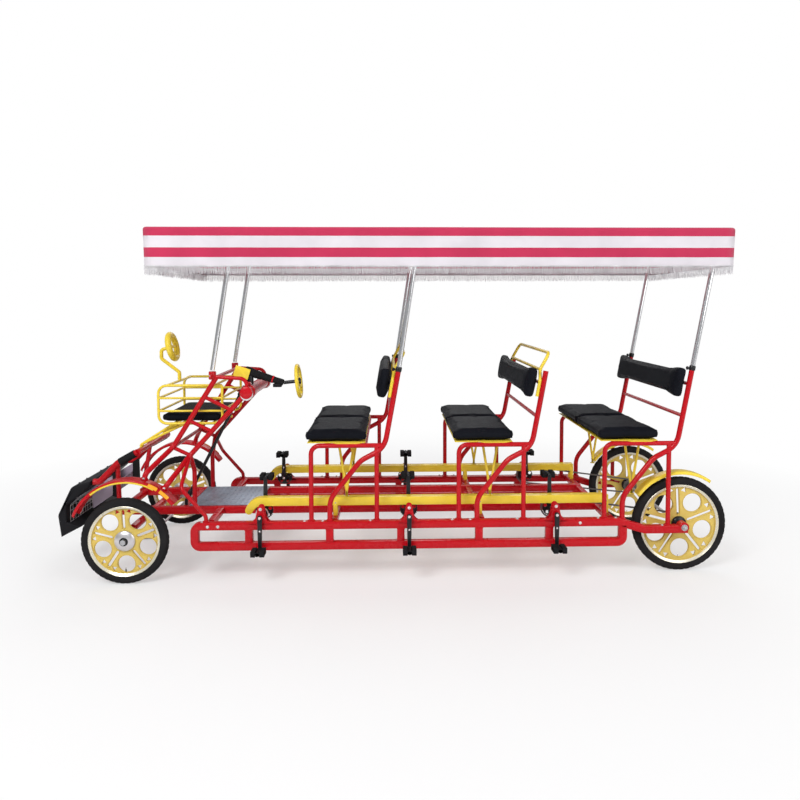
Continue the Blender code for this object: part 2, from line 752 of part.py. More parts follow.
def chain_guards():
    """Each side's long inverted channel with its bent front end."""
    top = GUARD_BOTTOM_Z + GUARD_HEIGHT
    bend_x = GUARD_FRONT_X + GUARD_BEND
    stay_top = GUARD_BOTTOM_Z + OVERRUN
    for side, sign in SIDES.items():
        y = sign * GUARD_Y
        half = GUARD_WIDTH / 2
        bm = bmesh.new()
        section = [(GUARD_BOTTOM_Z, -half), (top, -half), (top, half), (GUARD_BOTTOM_Z, half)]
        line = [bm.verts.new((GUARD_REAR_X, y + dy, z)) for z, dy in section]
        edges = [bm.edges.new(pair) for pair in zip(line, line[1:])]
        made = bmesh.ops.extrude_edge_only(bm, edges=edges)["geom"]
        ends = [v for v in made if isinstance(v, bmesh.types.BMVert)]
        bmesh.ops.translate(bm, vec=(bend_x - GUARD_REAR_X, 0, 0), verts=ends)
        rim = [e for e in made if isinstance(e, bmesh.types.BMEdge)]
        turn = {"cent": (bend_x, 0, top - GUARD_BEND), "axis": (0, -1, 0), "angle": GUARD_BEND_ANGLE}
        bmesh.ops.spin(bm, geom=ends + rim, steps=BEND_STEPS, **turn)
        bmesh.ops.remove_doubles(bm, verts=bm.verts, dist=MERGE)
        inside = Vector((bend_x, y, GUARD_BOTTOM_Z))
        pieces = [thicken(bm, GUARD_WALL, inside)]
        for x in CROSS_X[1:]:
            inner = half - GUARD_WALL / 2
            foot = INNER_RAIL_Z + CROSS_HALF + GAP
            for dy in (-inner, inner):
                pieces.append(box((x - GUARD_STAY_WIDTH / 2, y + dy - GUARD_WALL, foot),
                                  (x + GUARD_STAY_WIDTH / 2, y + dy + GUARD_WALL, stay_top)))
        part("chain_guard_" + side, "yellow", pieces)


def loop_around(small, small_radius, large, large_radius):
    """The outline of a belt around two circles, given as x, z and radius."""
    (x1, z1), (x2, z2) = small, large
    along = math.atan2(z2 - z1, x2 - x1)
    lean = math.acos((small_radius - large_radius) / math.hypot(x2 - x1, z2 - z1))
    points = []
    for step in range(BEND_STEPS * 2 + 1):
        angle = along + lean + (math.tau - 2 * lean) * step / (BEND_STEPS * 2)
        points.append(polar(small, small_radius, angle))
    for step in range(BEND_STEPS * 2 + 1):
        angle = along - lean + 2 * lean * step / (BEND_STEPS * 2)
        points.append(polar(large, large_radius, angle))
    return points


def chains():
    """Each side's chain from the last crank to the sprocket on the rear axle."""
    rear = (AXLE_REAR_X, REAR_WHEEL_RADIUS)
    last = (crank_places()[-1], CRANK_Z)
    for side, sign in SIDES.items():
        chord = math.cos(math.pi / (BEND_STEPS * 4))
        rings = [(CHAINRING_RADIUS + CHAIN_RUNNING_GAP) / chord, (SPROCKET_RADIUS + GAP) / chord]
        inner = loop_around(last, rings[0], rear, rings[1])
        outer = loop_around(last, rings[0] + CHAIN_DEPTH, rear, rings[1] + CHAIN_DEPTH)
        part("chain_" + side, "steel", [outline([outer, inner], sign * GUARD_Y, CHAIN_THICKNESS)])


def floor_frame():
    """The two inner rails and the cross members between the side frames, all of square tube."""
    def member(x0, y0, x1, y1, half):
        return box((x0, y0, INNER_RAIL_Z - half), (x1, y1, INNER_RAIL_Z + half))
    reach = RAIL_Y - RAIL_HALF - GAP
    half = CROSS_HALF
    pieces = []
    for sign in SIDES.values():
        y = sign * INNER_RAIL_Y
        pieces.append(member(INNER_RAIL_FRONT_X, y - RAIL_HALF, CROSS_X[-1] + half, y + RAIL_HALF, RAIL_HALF))
    for x in CROSS_X:
        pieces.append(member(x - half, -reach, x + half + OVERRUN * FINE_OVERRUN_SHARE, reach, half))
    for x in (INNER_RAIL_FRONT_X + 2 * half, SHAFT_FOOT_X):
        pieces.append(member(x - half, -INNER_RAIL_Y, x + half, INNER_RAIL_Y, half))
    part("floor_frame", "red", pieces)
    bottom = INNER_RAIL_Z + RAIL_HALF + GAP
    top = bottom + FLOOR_THICKNESS
    plate = box((FLOOR_FRONT_X, -INNER_RAIL_Y, bottom), (FLOOR_REAR_X, INNER_RAIL_Y, top))
    part("floor_plate", "steel", [plate])


def rear_axle():
    """The rear axle shaft through both bearings and wheels, with its nuts and the two sprockets."""
    end = RAIL_Y + BEARING_LENGTH / 2 + PIN_CLEARANCE
    shaft = end + AXLE_NUT_LENGTH
    centre = (AXLE_REAR_X, REAR_WHEEL_RADIUS)
    def across(a, b, radius, sides=HOLE_SIDES):
        return rod((centre[0], a, centre[1]), (centre[0], b, centre[1]), radius, sides=sides)
    pieces = [across(-shaft, shaft, AXLE_RADIUS, ROD_SIDES)]
    for sign in SIDES.values():
        pieces.append(across(sign * end, sign * shaft, AXLE_NUT_RADIUS, 6))
        half = SPROCKET_THICKNESS / 2
        ring = PLATE_SIDES
        pieces.append(across(sign * GUARD_Y - half, sign * GUARD_Y + half, SPROCKET_RADIUS, ring))
    part("rear_axle", "steel", pieces)


def front_axle():
    """The front beam with a yoke and kingpin at each end, both knuckles and the tie rod."""
    beam_z = INNER_RAIL_Z - RAIL_HALF - GAP - BEAM_RADIUS
    half = BARREL_HEIGHT / 2
    low, high = FRONT_WHEEL_RADIUS - half, FRONT_WHEEL_RADIUS + half
    wide = YOKE_WIDTH / 2
    x = AXLE_FRONT_X
    pieces = [tube([(x, -KINGPIN_Y + YOKE_WIDTH, beam_z), (x, KINGPIN_Y - YOKE_WIDTH, beam_z)], BEAM_RADIUS)]
    for side, sign in SIDES.items():
        inner = sign * (KINGPIN_Y - BARREL_RADIUS - YOKE_WIDTH)
        web = sign * (KINGPIN_Y - BARREL_RADIUS - PIN_CLEARANCE - YOKE_THICKNESS / 2)
        tip = sign * (KINGPIN_Y + wide)
        lips = ((low - PIN_CLEARANCE - YOKE_THICKNESS, low - PIN_CLEARANCE),
                (high + PIN_CLEARANCE, high + PIN_CLEARANCE + YOKE_THICKNESS))
        for bottom, top in lips:
            pieces.append(box((x - wide, min(inner, tip), bottom), (x + wide, max(inner, tip), top)))
        end = (web, inner)
        over = OVERRUN * FINE_OVERRUN_SHARE
        pieces.append(box((x - wide + over, min(end), low - YOKE_THICKNESS / 2),
                          (x + wide - over, max(end), high + YOKE_THICKNESS / 2)))
        pin = (low - YOKE_THICKNESS, high + YOKE_THICKNESS)
        pieces.append(rod((x, sign * KINGPIN_Y, pin[0]), (x, sign * KINGPIN_Y, pin[1]), KINGPIN_RADIUS))
        knuckle(side, sign, x, low, high)
    part("front_axle_beam", "red", pieces)
    tie_rod(x)


def tie_pin_height():
    """The z of the top of the steering arms, where the tie rod's pins stand."""
    return FRONT_WHEEL_RADIUS - BARREL_HEIGHT / 2 + STEER_ARM_THICKNESS * STEER_ARM_LEVEL_SHARE


def knuckle(side, sign, x, low, high):
    """A steering knuckle: bored barrel, stub axle with its nut, and steering arm with its pin."""
    y = sign * KINGPIN_Y
    barrel = rod((x, y, low), (x, y, high), BARREL_RADIUS, sides=HOLE_SIDES)
    hub = FRONT_HALF_TRACK + HUB_LENGTH / 2 + PIN_CLEARANCE
    shoulder = sign * (FRONT_HALF_TRACK - HUB_LENGTH / 2 - PIN_CLEARANCE)
    z = FRONT_WHEEL_RADIUS
    start = sign * (KINGPIN_Y + BARREL_RADIUS * STUB_ROOT_SHARE)
    end = sign * (hub + AXLE_NUT_LENGTH)
    stub = rod((x, start, z), (x, end, z), AXLE_RADIUS)
    collar = rod((x, start, z), (x, shoulder, z), BARREL_RADIUS * COLLAR_SHARE)
    nut = rod((x, sign * hub, z), (x, end, z), AXLE_NUT_RADIUS, sides=6)
    top = tie_pin_height()
    far = x + STEER_ARM
    wide = STEER_ARM_WIDTH / 2
    arm = box((x + BARREL_RADIUS * STEER_ARM_ROOT_SHARE, y - wide, top - STEER_ARM_THICKNESS),
              (far + wide, y + wide, top))
    pin = rod((far, y, top - STEER_ARM_THICKNESS / 2), (far, y, top + 2 * TIE_EYE_LIFT + TIE_EYE_HEIGHT),
              TIE_PIN_RADIUS)
    bore = rod((x, y, low - OVERRUN), (x, y, high + OVERRUN), KINGPIN_RADIUS + PIN_CLEARANCE,
               sides=HOLE_SIDES)
    part("knuckle_" + side, "steel", [barrel, collar, stub, nut, arm, pin], [bore], origin=(x, y, z))


def tie_rod(x):
    """The tie rod with a bored eye on each steering arm's pin."""
    far = x + STEER_ARM
    bottom = tie_pin_height() + TIE_EYE_LIFT
    middle = bottom + TIE_EYE_HEIGHT / 2
    reach = KINGPIN_Y - TIE_EYE_RADIUS / 2
    pieces = [tube([(far, -reach, middle), (far, reach, middle)], TIE_ROD_RADIUS)]
    cutters = []
    for sign in SIDES.values():
        y = sign * KINGPIN_Y
        top = bottom + TIE_EYE_HEIGHT
        pieces.append(rod((far, y, bottom), (far, y, top), TIE_EYE_RADIUS, sides=HOLE_SIDES))
        bore = TIE_PIN_RADIUS + PIN_CLEARANCE
        cutters.append(rod((far, y, bottom - OVERRUN), (far, y, top + OVERRUN), bore, sides=HOLE_SIDES))
    part("tie_rod", "steel", pieces, cutters, origin=(far, -KINGPIN_Y, middle))


def steering():
    """The column from the head tube to the wheel, the shaft down to the floor, and the steering wheel."""
    y = -COLUMN_Y
    start = (COLUMN_START_X, y, COLUMN_START_Z)
    end = (COLUMN_END_X, y, COLUMN_END_Z)
    pieces = [rod(start, end, COLUMN_RADIUS, COLUMN_TIP_RADIUS, sides=HOLE_SIDES)]
    seat = STRUT_B_TOP[1] + HEAD_TUBE_RADIUS + GAP
    pieces.append(rod((STRUT_B_TOP[0], y, seat), (STRUT_B_TOP[0], y, COLUMN_START_Z),
                      COLUMN_RADIUS * COLUMN_STEM_SHARE))
    part("steering_column", "black", pieces)
    foot = Vector((SHAFT_FOOT_X, -SHAFT_Y, INNER_RAIL_Z + CROSS_HALF + GAP))
    knee = foot + Vector((0, 0, SHAFT_RADIUS * SHAFT_KNEE_SHARE))
    head = Vector((STRUT_B_TOP[0], -SHAFT_Y, STRUT_B_TOP[1]))
    direction = (head - knee).normalized()
    beside = Vector((-direction.z, 0, direction.x)) * (HEAD_TUBE_RADIUS + SHAFT_RADIUS + GAP)
    part("steering_shaft", "black", [tube([foot, knee, head + beside], SHAFT_RADIUS, SHAFT_RADIUS * 2)])
    axis = Vector((math.cos(STEERING_WHEEL_RISE), 0, math.sin(STEERING_WHEEL_RISE)))
    run = (STEERING_WHEEL_X - COLUMN_END_X) / axis.x
    lean = axis.angle(Vector(end) - Vector(start))
    root = Vector(end) + axis * (STEERING_STUB_RADIUS * math.sin(lean) + PIN_CLEARANCE)
    hub = Vector(end) + axis * run
    pieces = [torus(hub, axis, STEERING_WHEEL_RADIUS, STEERING_RIM_RADIUS, sides=6)]
    pieces.append(rod(root, hub, STEERING_STUB_RADIUS))
    pieces.append(rod(hub - axis * STEERING_HUB_LENGTH / 2, hub + axis * STEERING_HUB_LENGTH / 2,
                      STEERING_HUB_RADIUS, sides=HOLE_SIDES))
    across = Vector((0, 1, 0))
    up = axis.cross(across)
    for spoke in range(3):
        angle = math.tau * spoke / STEERING_SPOKES + math.pi / 2
        reach = across * math.cos(angle) + up * math.sin(angle)
        thickness = STEERING_RIM_RADIUS * STEERING_SPOKE_SHARE
        pieces.append(rod(hub, hub + reach * STEERING_WHEEL_RADIUS, thickness, sides=6))
    part("steering_wheel", "yellow", pieces, origin=hub)


def fender_point(angle, sign, y=None):
    """The point on a front fender's outer face, at that angle about its centre."""
    x, z = polar(FRONT_FENDER_CENTRE, FRONT_FENDER_RADIUS + GAP, angle)
    return Vector((x, sign * STRUT_FOOT_Y if y is None else y, z))


def strut(sign, foot_angle, knee, top):
    """A sloping strut from its foot on the fender, over the knee, to its top."""
    foot = fender_point(foot_angle, sign)
    out = Vector((math.cos(foot_angle), 0, math.sin(foot_angle)))
    points = [foot, foot + out * STRUT_FOOT_LENGTH]
    points += [(x, sign * STRUT_Y, z) for x, z in (knee, top)]
    return tube(points, STRUT_RADIUS, STRUT_BEND)


def front_frame():
    """The sloping front frame: struts and steps on each side, head tube, braces and pole sockets."""
    head_x, head_z = STRUT_B_TOP
    pieces = [rod((head_x, -HEAD_TUBE_HALF, head_z), (head_x, HEAD_TUBE_HALF, head_z), HEAD_TUBE_RADIUS,
                  sides=PLATE_SIDES)]
    thin = STRUT_RADIUS * THIN_TUBE_SHARE
    for sign in SIDES.values():
        y = sign * STRUT_Y
        pieces.append(strut(sign, STRUT_A_FOOT_ANGLE, STRUT_A_KNEE, STRUT_A_TOP))
        pieces.append(strut(sign, STRUT_B_FOOT_ANGLE, STRUT_B_KNEE, STRUT_B_TOP))
        for share in STEP_SHARES:
            a = between(STRUT_A_KNEE, STRUT_A_TOP, share)
            b = between(STRUT_B_KNEE, STRUT_B_TOP, share)
            pieces.append(side_tube(y, [a, b], thin, None, ROD_RESOLUTION))
        link = [STRUT_A_TOP, (head_x, STRUT_A_TOP[1] - thin), STRUT_B_TOP]
        pieces.append(side_tube(y, link, thin, STRUT_BEND, ROD_RESOLUTION))
        down = [(DOWN_TUBE_X, sign * STRUT_Y, STRUT_B_KNEE[1]),
                (DOWN_TUBE_X, sign * INNER_RAIL_Y, STRUT_B_KNEE[1] - STRUT_BEND * DOWN_TUBE_DROP_SHARE),
                (DOWN_TUBE_X, sign * INNER_RAIL_Y, INNER_RAIL_Z + RAIL_HALF + FLOOR_THICKNESS + 2 * GAP)]
        pieces.append(tube(down, STRUT_RADIUS * DOWN_TUBE_SHARE, STRUT_BEND))
        brace = [(BRACE_FOOT_X, sign * RAIL_Y, UPPER_RAIL_Z + RAIL_HALF + GAP),
                 (BRACE_FOOT_X, sign * RAIL_Y, UPPER_RAIL_Z + RAIL_BEND),
                 (STRUT_B_KNEE[0], sign * RAIL_Y, UPPER_RAIL_Z + RAIL_BEND * BRACE_RISE_SHARE),
                 (STRUT_B_KNEE[0], y, STRUT_B_KNEE[1])]
        pieces.append(tube(brace, thin, STRUT_BEND, ROD_RESOLUTION))
        foot_x, foot_z = FRONT_POLE_FOOT
        socket_bottom = foot_z - SOCKET_HEIGHT
        pieces.append(rod((foot_x, y, socket_bottom), (foot_x, y, foot_z - POLE_RADIUS / 2), SOCKET_RADIUS))
        link = [(foot_x, socket_bottom + thin * 2), STRUT_A_TOP]
        pieces.append(side_tube(y, link, thin, None, ROD_RESOLUTION))
    for x, z in (STRUT_A_KNEE, STRUT_A_TOP):
        ends = [(x, -STRUT_Y, z), (x, STRUT_Y, z)]
        pieces.append(tube(ends, thin * CROSS_TUBE_SHARE, None, ROD_RESOLUTION))
    part("front_frame", "red", pieces)


def fenders():
    """The front fenders over the steered wheels and the rear fenders with their tabs to the seat legs."""
    half = FRONT_FENDER_WIDTH / 2
    r = FRONT_FENDER_RADIUS
    front = [(r - FENDER_FLANGE, -half), (r, -half), (r, half), (r - FENDER_FLANGE, half)]
    half = REAR_FENDER_WIDTH / 2
    r = REAR_FENDER_RADIUS
    rear = [(r - FENDER_FLANGE, -half), (r, -half), (r, half), (r - FENDER_FLANGE, half)]
    centre = (AXLE_REAR_X, REAR_WHEEL_RADIUS)
    leg_x = seat_places()[-1] + SEAT_DEPTH
    for side, sign in SIDES.items():
        section = [(a, sign * FRONT_HALF_TRACK + y) for a, y in front]
        sheet = sweep_sheet(section, FRONT_FENDER_CENTRE, FRONT_FENDER_START, FRONT_FENDER_END, FENDER_WALL)
        part("front_fender_" + side, "red", [sheet])
        section = [(a, sign * REAR_HALF_TRACK + y) for a, y in rear]
        sheet = sweep_sheet(section, centre, REAR_FENDER_START, REAR_FENDER_END, FENDER_WALL)
        angle = math.acos((leg_x - centre[0]) / r)
        top = centre[1] + r * math.sin(angle) - FENDER_WALL
        inner = sign * (REAR_HALF_TRACK + half - FENDER_WALL)
        outer = sign * (SEAT_Y - SEAT_TUBE_RADIUS - GAP)
        wide = SEAT_TUBE_RADIUS
        tab = box((leg_x - wide, min(inner, outer), top - FENDER_TAB / 2),
                  (leg_x + wide, max(inner, outer), top))
        part("rear_fender_" + side, "yellow", [sheet, tab])


def nose():
    """The nose: bumper, its lamps, two tubes back to the front frame and their stays down to the rails."""
    path = [BUMPER_TOP, BUMPER_BROW, (BUMPER_FRONT_X, BUMPER_FACE_Z), BUMPER_TOE, BUMPER_TAIL]
    outer = [Vector((x, 0, z)) for x, z in path]
    back = Vector((BUMPER_WALL, 0, 0))
    inner = [outer[3] + back * BUMPER_TOE_SHARE, outer[2] + back, outer[1] + back * BUMPER_BROW_SHARE]
    inner[2].z -= BUMPER_WALL * BUMPER_DROP_SHARE
    inner[1].z = LAMP_Z + LAMP_RADIUS + GAP
    loop = [(v.x, v.z) for v in rounded(outer[:4], BUMPER_BEND)]
    lip = BUMPER_WALL * BUMPER_LIP_SHARE
    loop += [BUMPER_TAIL, (inner[1].x, BUMPER_TAIL[1] + lip), (inner[1].x, inner[1].z)]
    loop += [(inner[2].x, inner[2].z), (BUMPER_TOP[0], BUMPER_TOP[1] - lip)]
    part("bumper", "black", [outline([loop], 0, 2 * BUMPER_HALF_WIDTH)])
    pieces = []
    face = inner[1].x + GAP
    for sign in SIDES.values():
        y = sign * LAMP_Y
        pieces.append(rod((face, y, LAMP_Z), (face + LAMP_DEPTH, y, LAMP_Z), LAMP_RADIUS, sides=PLATE_SIDES))
    bar = (face + LAMP_DEPTH / 2, LAMP_Z)
    ends = [(bar[0], -LAMP_Y, bar[1]), (bar[0], LAMP_Y, bar[1])]
    pieces.append(tube(ends, NOSE_TUBE_RADIUS * LAMP_BAR_SHARE))
    part("lamps", "steel", pieces)
    pieces = []
    for sign in SIDES.values():
        y = sign * NOSE_TUBE_Y
        level = BUMPER_TOP[1] - BUMPER_WALL * NOSE_LEVEL_SHARE
        start = [(BUMPER_TOP[0] + GAP, level), (BUMPER_TOP[0] + NOSE_TUBE_RADIUS * 2, level)]
        pieces.append(side_tube(y, [*start, NOSE_KNEE, NOSE_REAR], NOSE_TUBE_RADIUS, NOSE_TUBE_RADIUS * 2))
        foot_x = INNER_RAIL_FRONT_X + RAIL_HALF
        foot_z = INNER_RAIL_Z + RAIL_HALF + GAP
        stay = [(NOSE_KNEE[0], y, NOSE_KNEE[1])]
        stay += [(foot_x, sign * INNER_RAIL_Y, z) for z in (foot_z + NOSE_TUBE_RADIUS * 2, foot_z)]
        pieces.append(tube(stay, NOSE_TUBE_RADIUS * NOSE_STAY_SHARE, NOSE_TUBE_RADIUS, ROD_RESOLUTION))
    ends = [(NOSE_REAR[0], -NOSE_TUBE_Y, NOSE_REAR[1]), (NOSE_REAR[0], NOSE_TUBE_Y, NOSE_REAR[1])]
    pieces.append(tube(ends, NOSE_TUBE_RADIUS * NOSE_BAR_SHARE))
    part("nose_frame", "red", pieces)


def seats():
    """Three rows: each a frame with back posts, a pan on struts, two cushions, a back pad and a grab loop."""
    for row, x in enumerate(seat_places(), 1):
        seat_frame(row, x)
        seat_pan(row, x)
        bottom = SEAT_TUBE_Z + SEAT_TUBE_RADIUS + PAN_THICKNESS + 2 * GAP
        for side, sign in SIDES.items():
            near, far = sorted((sign * CUSHION_INNER_Y, sign * CUSHION_OUTER_Y))
            cushion = box((x + CUSHION_FRONT_RUN, near, bottom),
                          (x + CUSHION_REAR_RUN, far, bottom + CUSHION_HEIGHT))
            soften(cushion, CUSHION_EDGE)
            part("cushion_%s_%d" % (side, row), "vinyl", [cushion])
        back_pad(row, x)


def soften(obj, edge):
    """Rounds every edge of a soft piece."""
    bevel = obj.modifiers.new("bevel", "BEVEL")
    bevel.width = edge
    bevel.segments = 2


def post_slope():
    """How far back a post runs for each unit of height."""
    return (POST_TOP_RUN - POST_KNEE[0]) / (POST_TOP_Z - POST_KNEE[1])


def seat_frame(row, x):
    """The front legs with their side tubes, the curved back posts, the rear legs and the cross tubes."""
    rear_x = x + SEAT_DEPTH
    brace_x = x + SEAT_BRACE_FOOT_RUN
    pieces = []
    for sign in SIDES.values():
        y = sign * SEAT_Y
        front = [(x, rail_top(x) + GAP), (x, SEAT_TUBE_Z), (x + POST_KNEE[0], SEAT_TUBE_Z)]
        pieces.append(side_tube(y, front, SEAT_TUBE_RADIUS, SEAT_BEND))
        rear = [(rear_x, rail_top(rear_x) + GAP), (rear_x, SEAT_TUBE_Z)]
        pieces.append(side_tube(y, rear, SEAT_TUBE_RADIUS))
        post = [(brace_x, rail_top(brace_x - POST_RADIUS) + GAP)]
        knee = (SEAT_BRACE_FOOT_RUN, SEAT_BRACE_KNEE_Z)
        for run, z in (knee, SEAT_BRACE_SHOULDER, POST_KNEE, (POST_TOP_RUN, POST_TOP_Z)):
            post.append((x + run, z))
        pieces.append(side_tube(y, post, POST_RADIUS, SEAT_BRACE_BEND))
    across = [(x + SEAT_BEND * SEAT_CROSS_SHARE, SEAT_TUBE_Z), (x + PAN_REAR_RUN, SEAT_TUBE_Z)]
    for share in POST_CROSS_SHARES:
        run, z = between(POST_KNEE, (POST_TOP_RUN, POST_TOP_Z), share)
        across.append((x + run, z))
    for run, z in across:
        pieces.append(tube([(run, -SEAT_Y, z), (run, SEAT_Y, z)], SEAT_CROSS_RADIUS, None, ROD_RESOLUTION))
    part("seat_frame_%d" % row, "red", pieces)


def seat_pan(row, x):
    """The pan under a row's cushions and its V-shaped struts down to the chain guards."""
    bottom = SEAT_TUBE_Z + SEAT_TUBE_RADIUS + GAP
    pieces = [box((x + PAN_FRONT_RUN, -PAN_HALF_WIDTH, bottom),
                  (x + PAN_REAR_RUN, PAN_HALF_WIDTH, bottom + PAN_THICKNESS))]
    foot_x = x + STRUT_RUN
    foot_z = GUARD_BOTTOM_Z + GUARD_HEIGHT + GAP
    for sign in SIDES.values():
        y = sign * GUARD_Y
        for lean in (-STRUT_SPREAD, STRUT_SPREAD):
            knee = foot_z + PAN_STRUT_RADIUS * PAN_STRUT_KNEE_SHARE
            points = [(foot_x, foot_z), (foot_x, knee), (foot_x + lean, bottom + PAN_THICKNESS / 2)]
            pieces.append(side_tube(y, points, PAN_STRUT_RADIUS, PAN_STRUT_RADIUS * 2, ROD_RESOLUTION))
    part("seat_pan_%d" % row, "yellow", pieces)


def back_pad(row, x):
    """A row's back pad on its posts and, on the front two rows, the grab loop between pad and posts."""
    slope = math.atan(post_slope())
    lean = Vector((math.sin(slope), 0, math.cos(slope)))
    forward = Vector((-math.cos(slope), 0, math.sin(slope)))
    foot = Vector((x + POST_KNEE[0], 0, POST_KNEE[1]))
    has_loop = row < ROW_COUNT
    front = POST_RADIUS + GAP
    if has_loop:
        path_face = front + LOOP_RADIUS * HEX_FLAT_SHARE
        def on_post(z):
            return foot + lean * ((z - POST_KNEE[1]) / lean.z) + forward * path_face
        low, shoulder, high = on_post(LOOP_BOTTOM_Z), on_post(LOOP_SHOULDER_Z), on_post(POST_TOP_Z)
        top = Vector((high.x + LOOP_LEAN, 0, LOOP_TOP_Z))
        wide = Vector((0, SEAT_Y, 0))
        inset = Vector((0, SEAT_Y - LOOP_INSET, 0))
        hoop = [low - wide, shoulder - wide, high - inset, top - inset]
        hoop += [top + inset, high + inset, shoulder + wide, low + wide]
        pieces = [tube(hoop, LOOP_RADIUS, LOOP_BEND, ROD_RESOLUTION)]
        pieces.append(tube([high - inset, high + inset], LOOP_RADIUS * LOOP_BAR_SHARE, None, ROD_RESOLUTION))
        part("grab_loop_%d" % row, "yellow", pieces)
        front += 2 * LOOP_RADIUS * HEX_FLAT_SHARE + GAP
    pad = box((0, -PAD_HALF_WIDTH, 0), (PAD_THICKNESS, PAD_HALF_WIDTH, PAD_HEIGHT))
    soften(pad, PAD_EDGE)
    base = foot + lean * ((PAD_BOTTOM_Z - POST_KNEE[1]) / lean.z) + forward * (front + PAD_THICKNESS)
    pad.data.transform(Matrix.Translation(base) @ Matrix.Rotation(slope, 4, "Y"))
    part("back_pad_%d" % row, "vinyl", [pad])


def canopy():
    """The cloth canopy as a thin shell with its hanging sides, open below."""
    bm = bmesh.new()
    section = [(-CANOPY_HALF_WIDTH, CANOPY_BOTTOM_Z)]
    for step in range(CANOPY_PANELS + 1):
        share = 2 * step / CANOPY_PANELS - 1
        section.append((CANOPY_HALF_WIDTH * share, CANOPY_EDGE_Z + CANOPY_CROWN * (1 - share * share)))
    section.append((CANOPY_HALF_WIDTH, CANOPY_BOTTOM_Z))
    ends = [[bm.verts.new((x, y, z)) for y, z in section] for x in (CANOPY_FRONT_X, CANOPY_REAR_X)]
    for i in range(len(section) - 1):
        bm.faces.new((ends[0][i], ends[0][i + 1], ends[1][i + 1], ends[1][i]))
    for end in ends:
        bm.faces.new(end)
    middle = Vector(((CANOPY_FRONT_X + CANOPY_REAR_X) / 2, 0, CANOPY_BOTTOM_Z))
    part("canopy", "cloth", [thicken(bm, CANOPY_WALL, middle)])


def canopy_frame():
    """The chrome frame inside the canopy and the six poles that carry it."""
    z = CANOPY_EDGE_Z - CANOPY_WALL - CANOPY_TUBE_RADIUS - GAP
    side_y = CANOPY_HALF_WIDTH - CANOPY_WALL - CANOPY_TUBE_RADIUS - GAP
    end = CANOPY_WALL + CANOPY_TUBE_RADIUS + GAP
    front, rear = CANOPY_FRONT_X + end, CANOPY_REAR_X - end
    pieces = []
    for sign in SIDES.values():
        pieces.append(tube([(front, sign * side_y, z), (rear, sign * side_y, z)], CANOPY_TUBE_RADIUS))
    for x in (front, FRONT_POLE_TOP_X, MIDDLE_POLE_TOP_X, rear):
        pieces.append(tube([(x, -side_y, z), (x, side_y, z)], CANOPY_TUBE_RADIUS * CANOPY_CROSS_SHARE))
    mid_foot = (seat_places()[0] + POST_TOP_RUN, POST_TOP_Z)
    rear_foot = (seat_places()[2] + POST_TOP_RUN, POST_TOP_Z)
    poles = [
        (FRONT_POLE_FOOT, FRONT_POLE_TOP_X, STRUT_Y),
        (mid_foot, MIDDLE_POLE_TOP_X, SEAT_Y),
        (rear_foot, REAR_POLE_TOP_X, SEAT_Y),
    ]
    for (foot_x, foot_z), top_x, y in poles:
        top = Vector((top_x, 0, z))
        foot = Vector((foot_x, 0, foot_z))
        up = (top - foot).normalized()
        for sign in SIDES.values():
            across = Vector((0, sign * y, 0))
            lift = up * POLE_RADIUS * POLE_LIFT_SHARE
            pieces.append(tube([foot + lift + across, top + across], POLE_RADIUS))
    part("canopy_frame", "chrome", pieces)


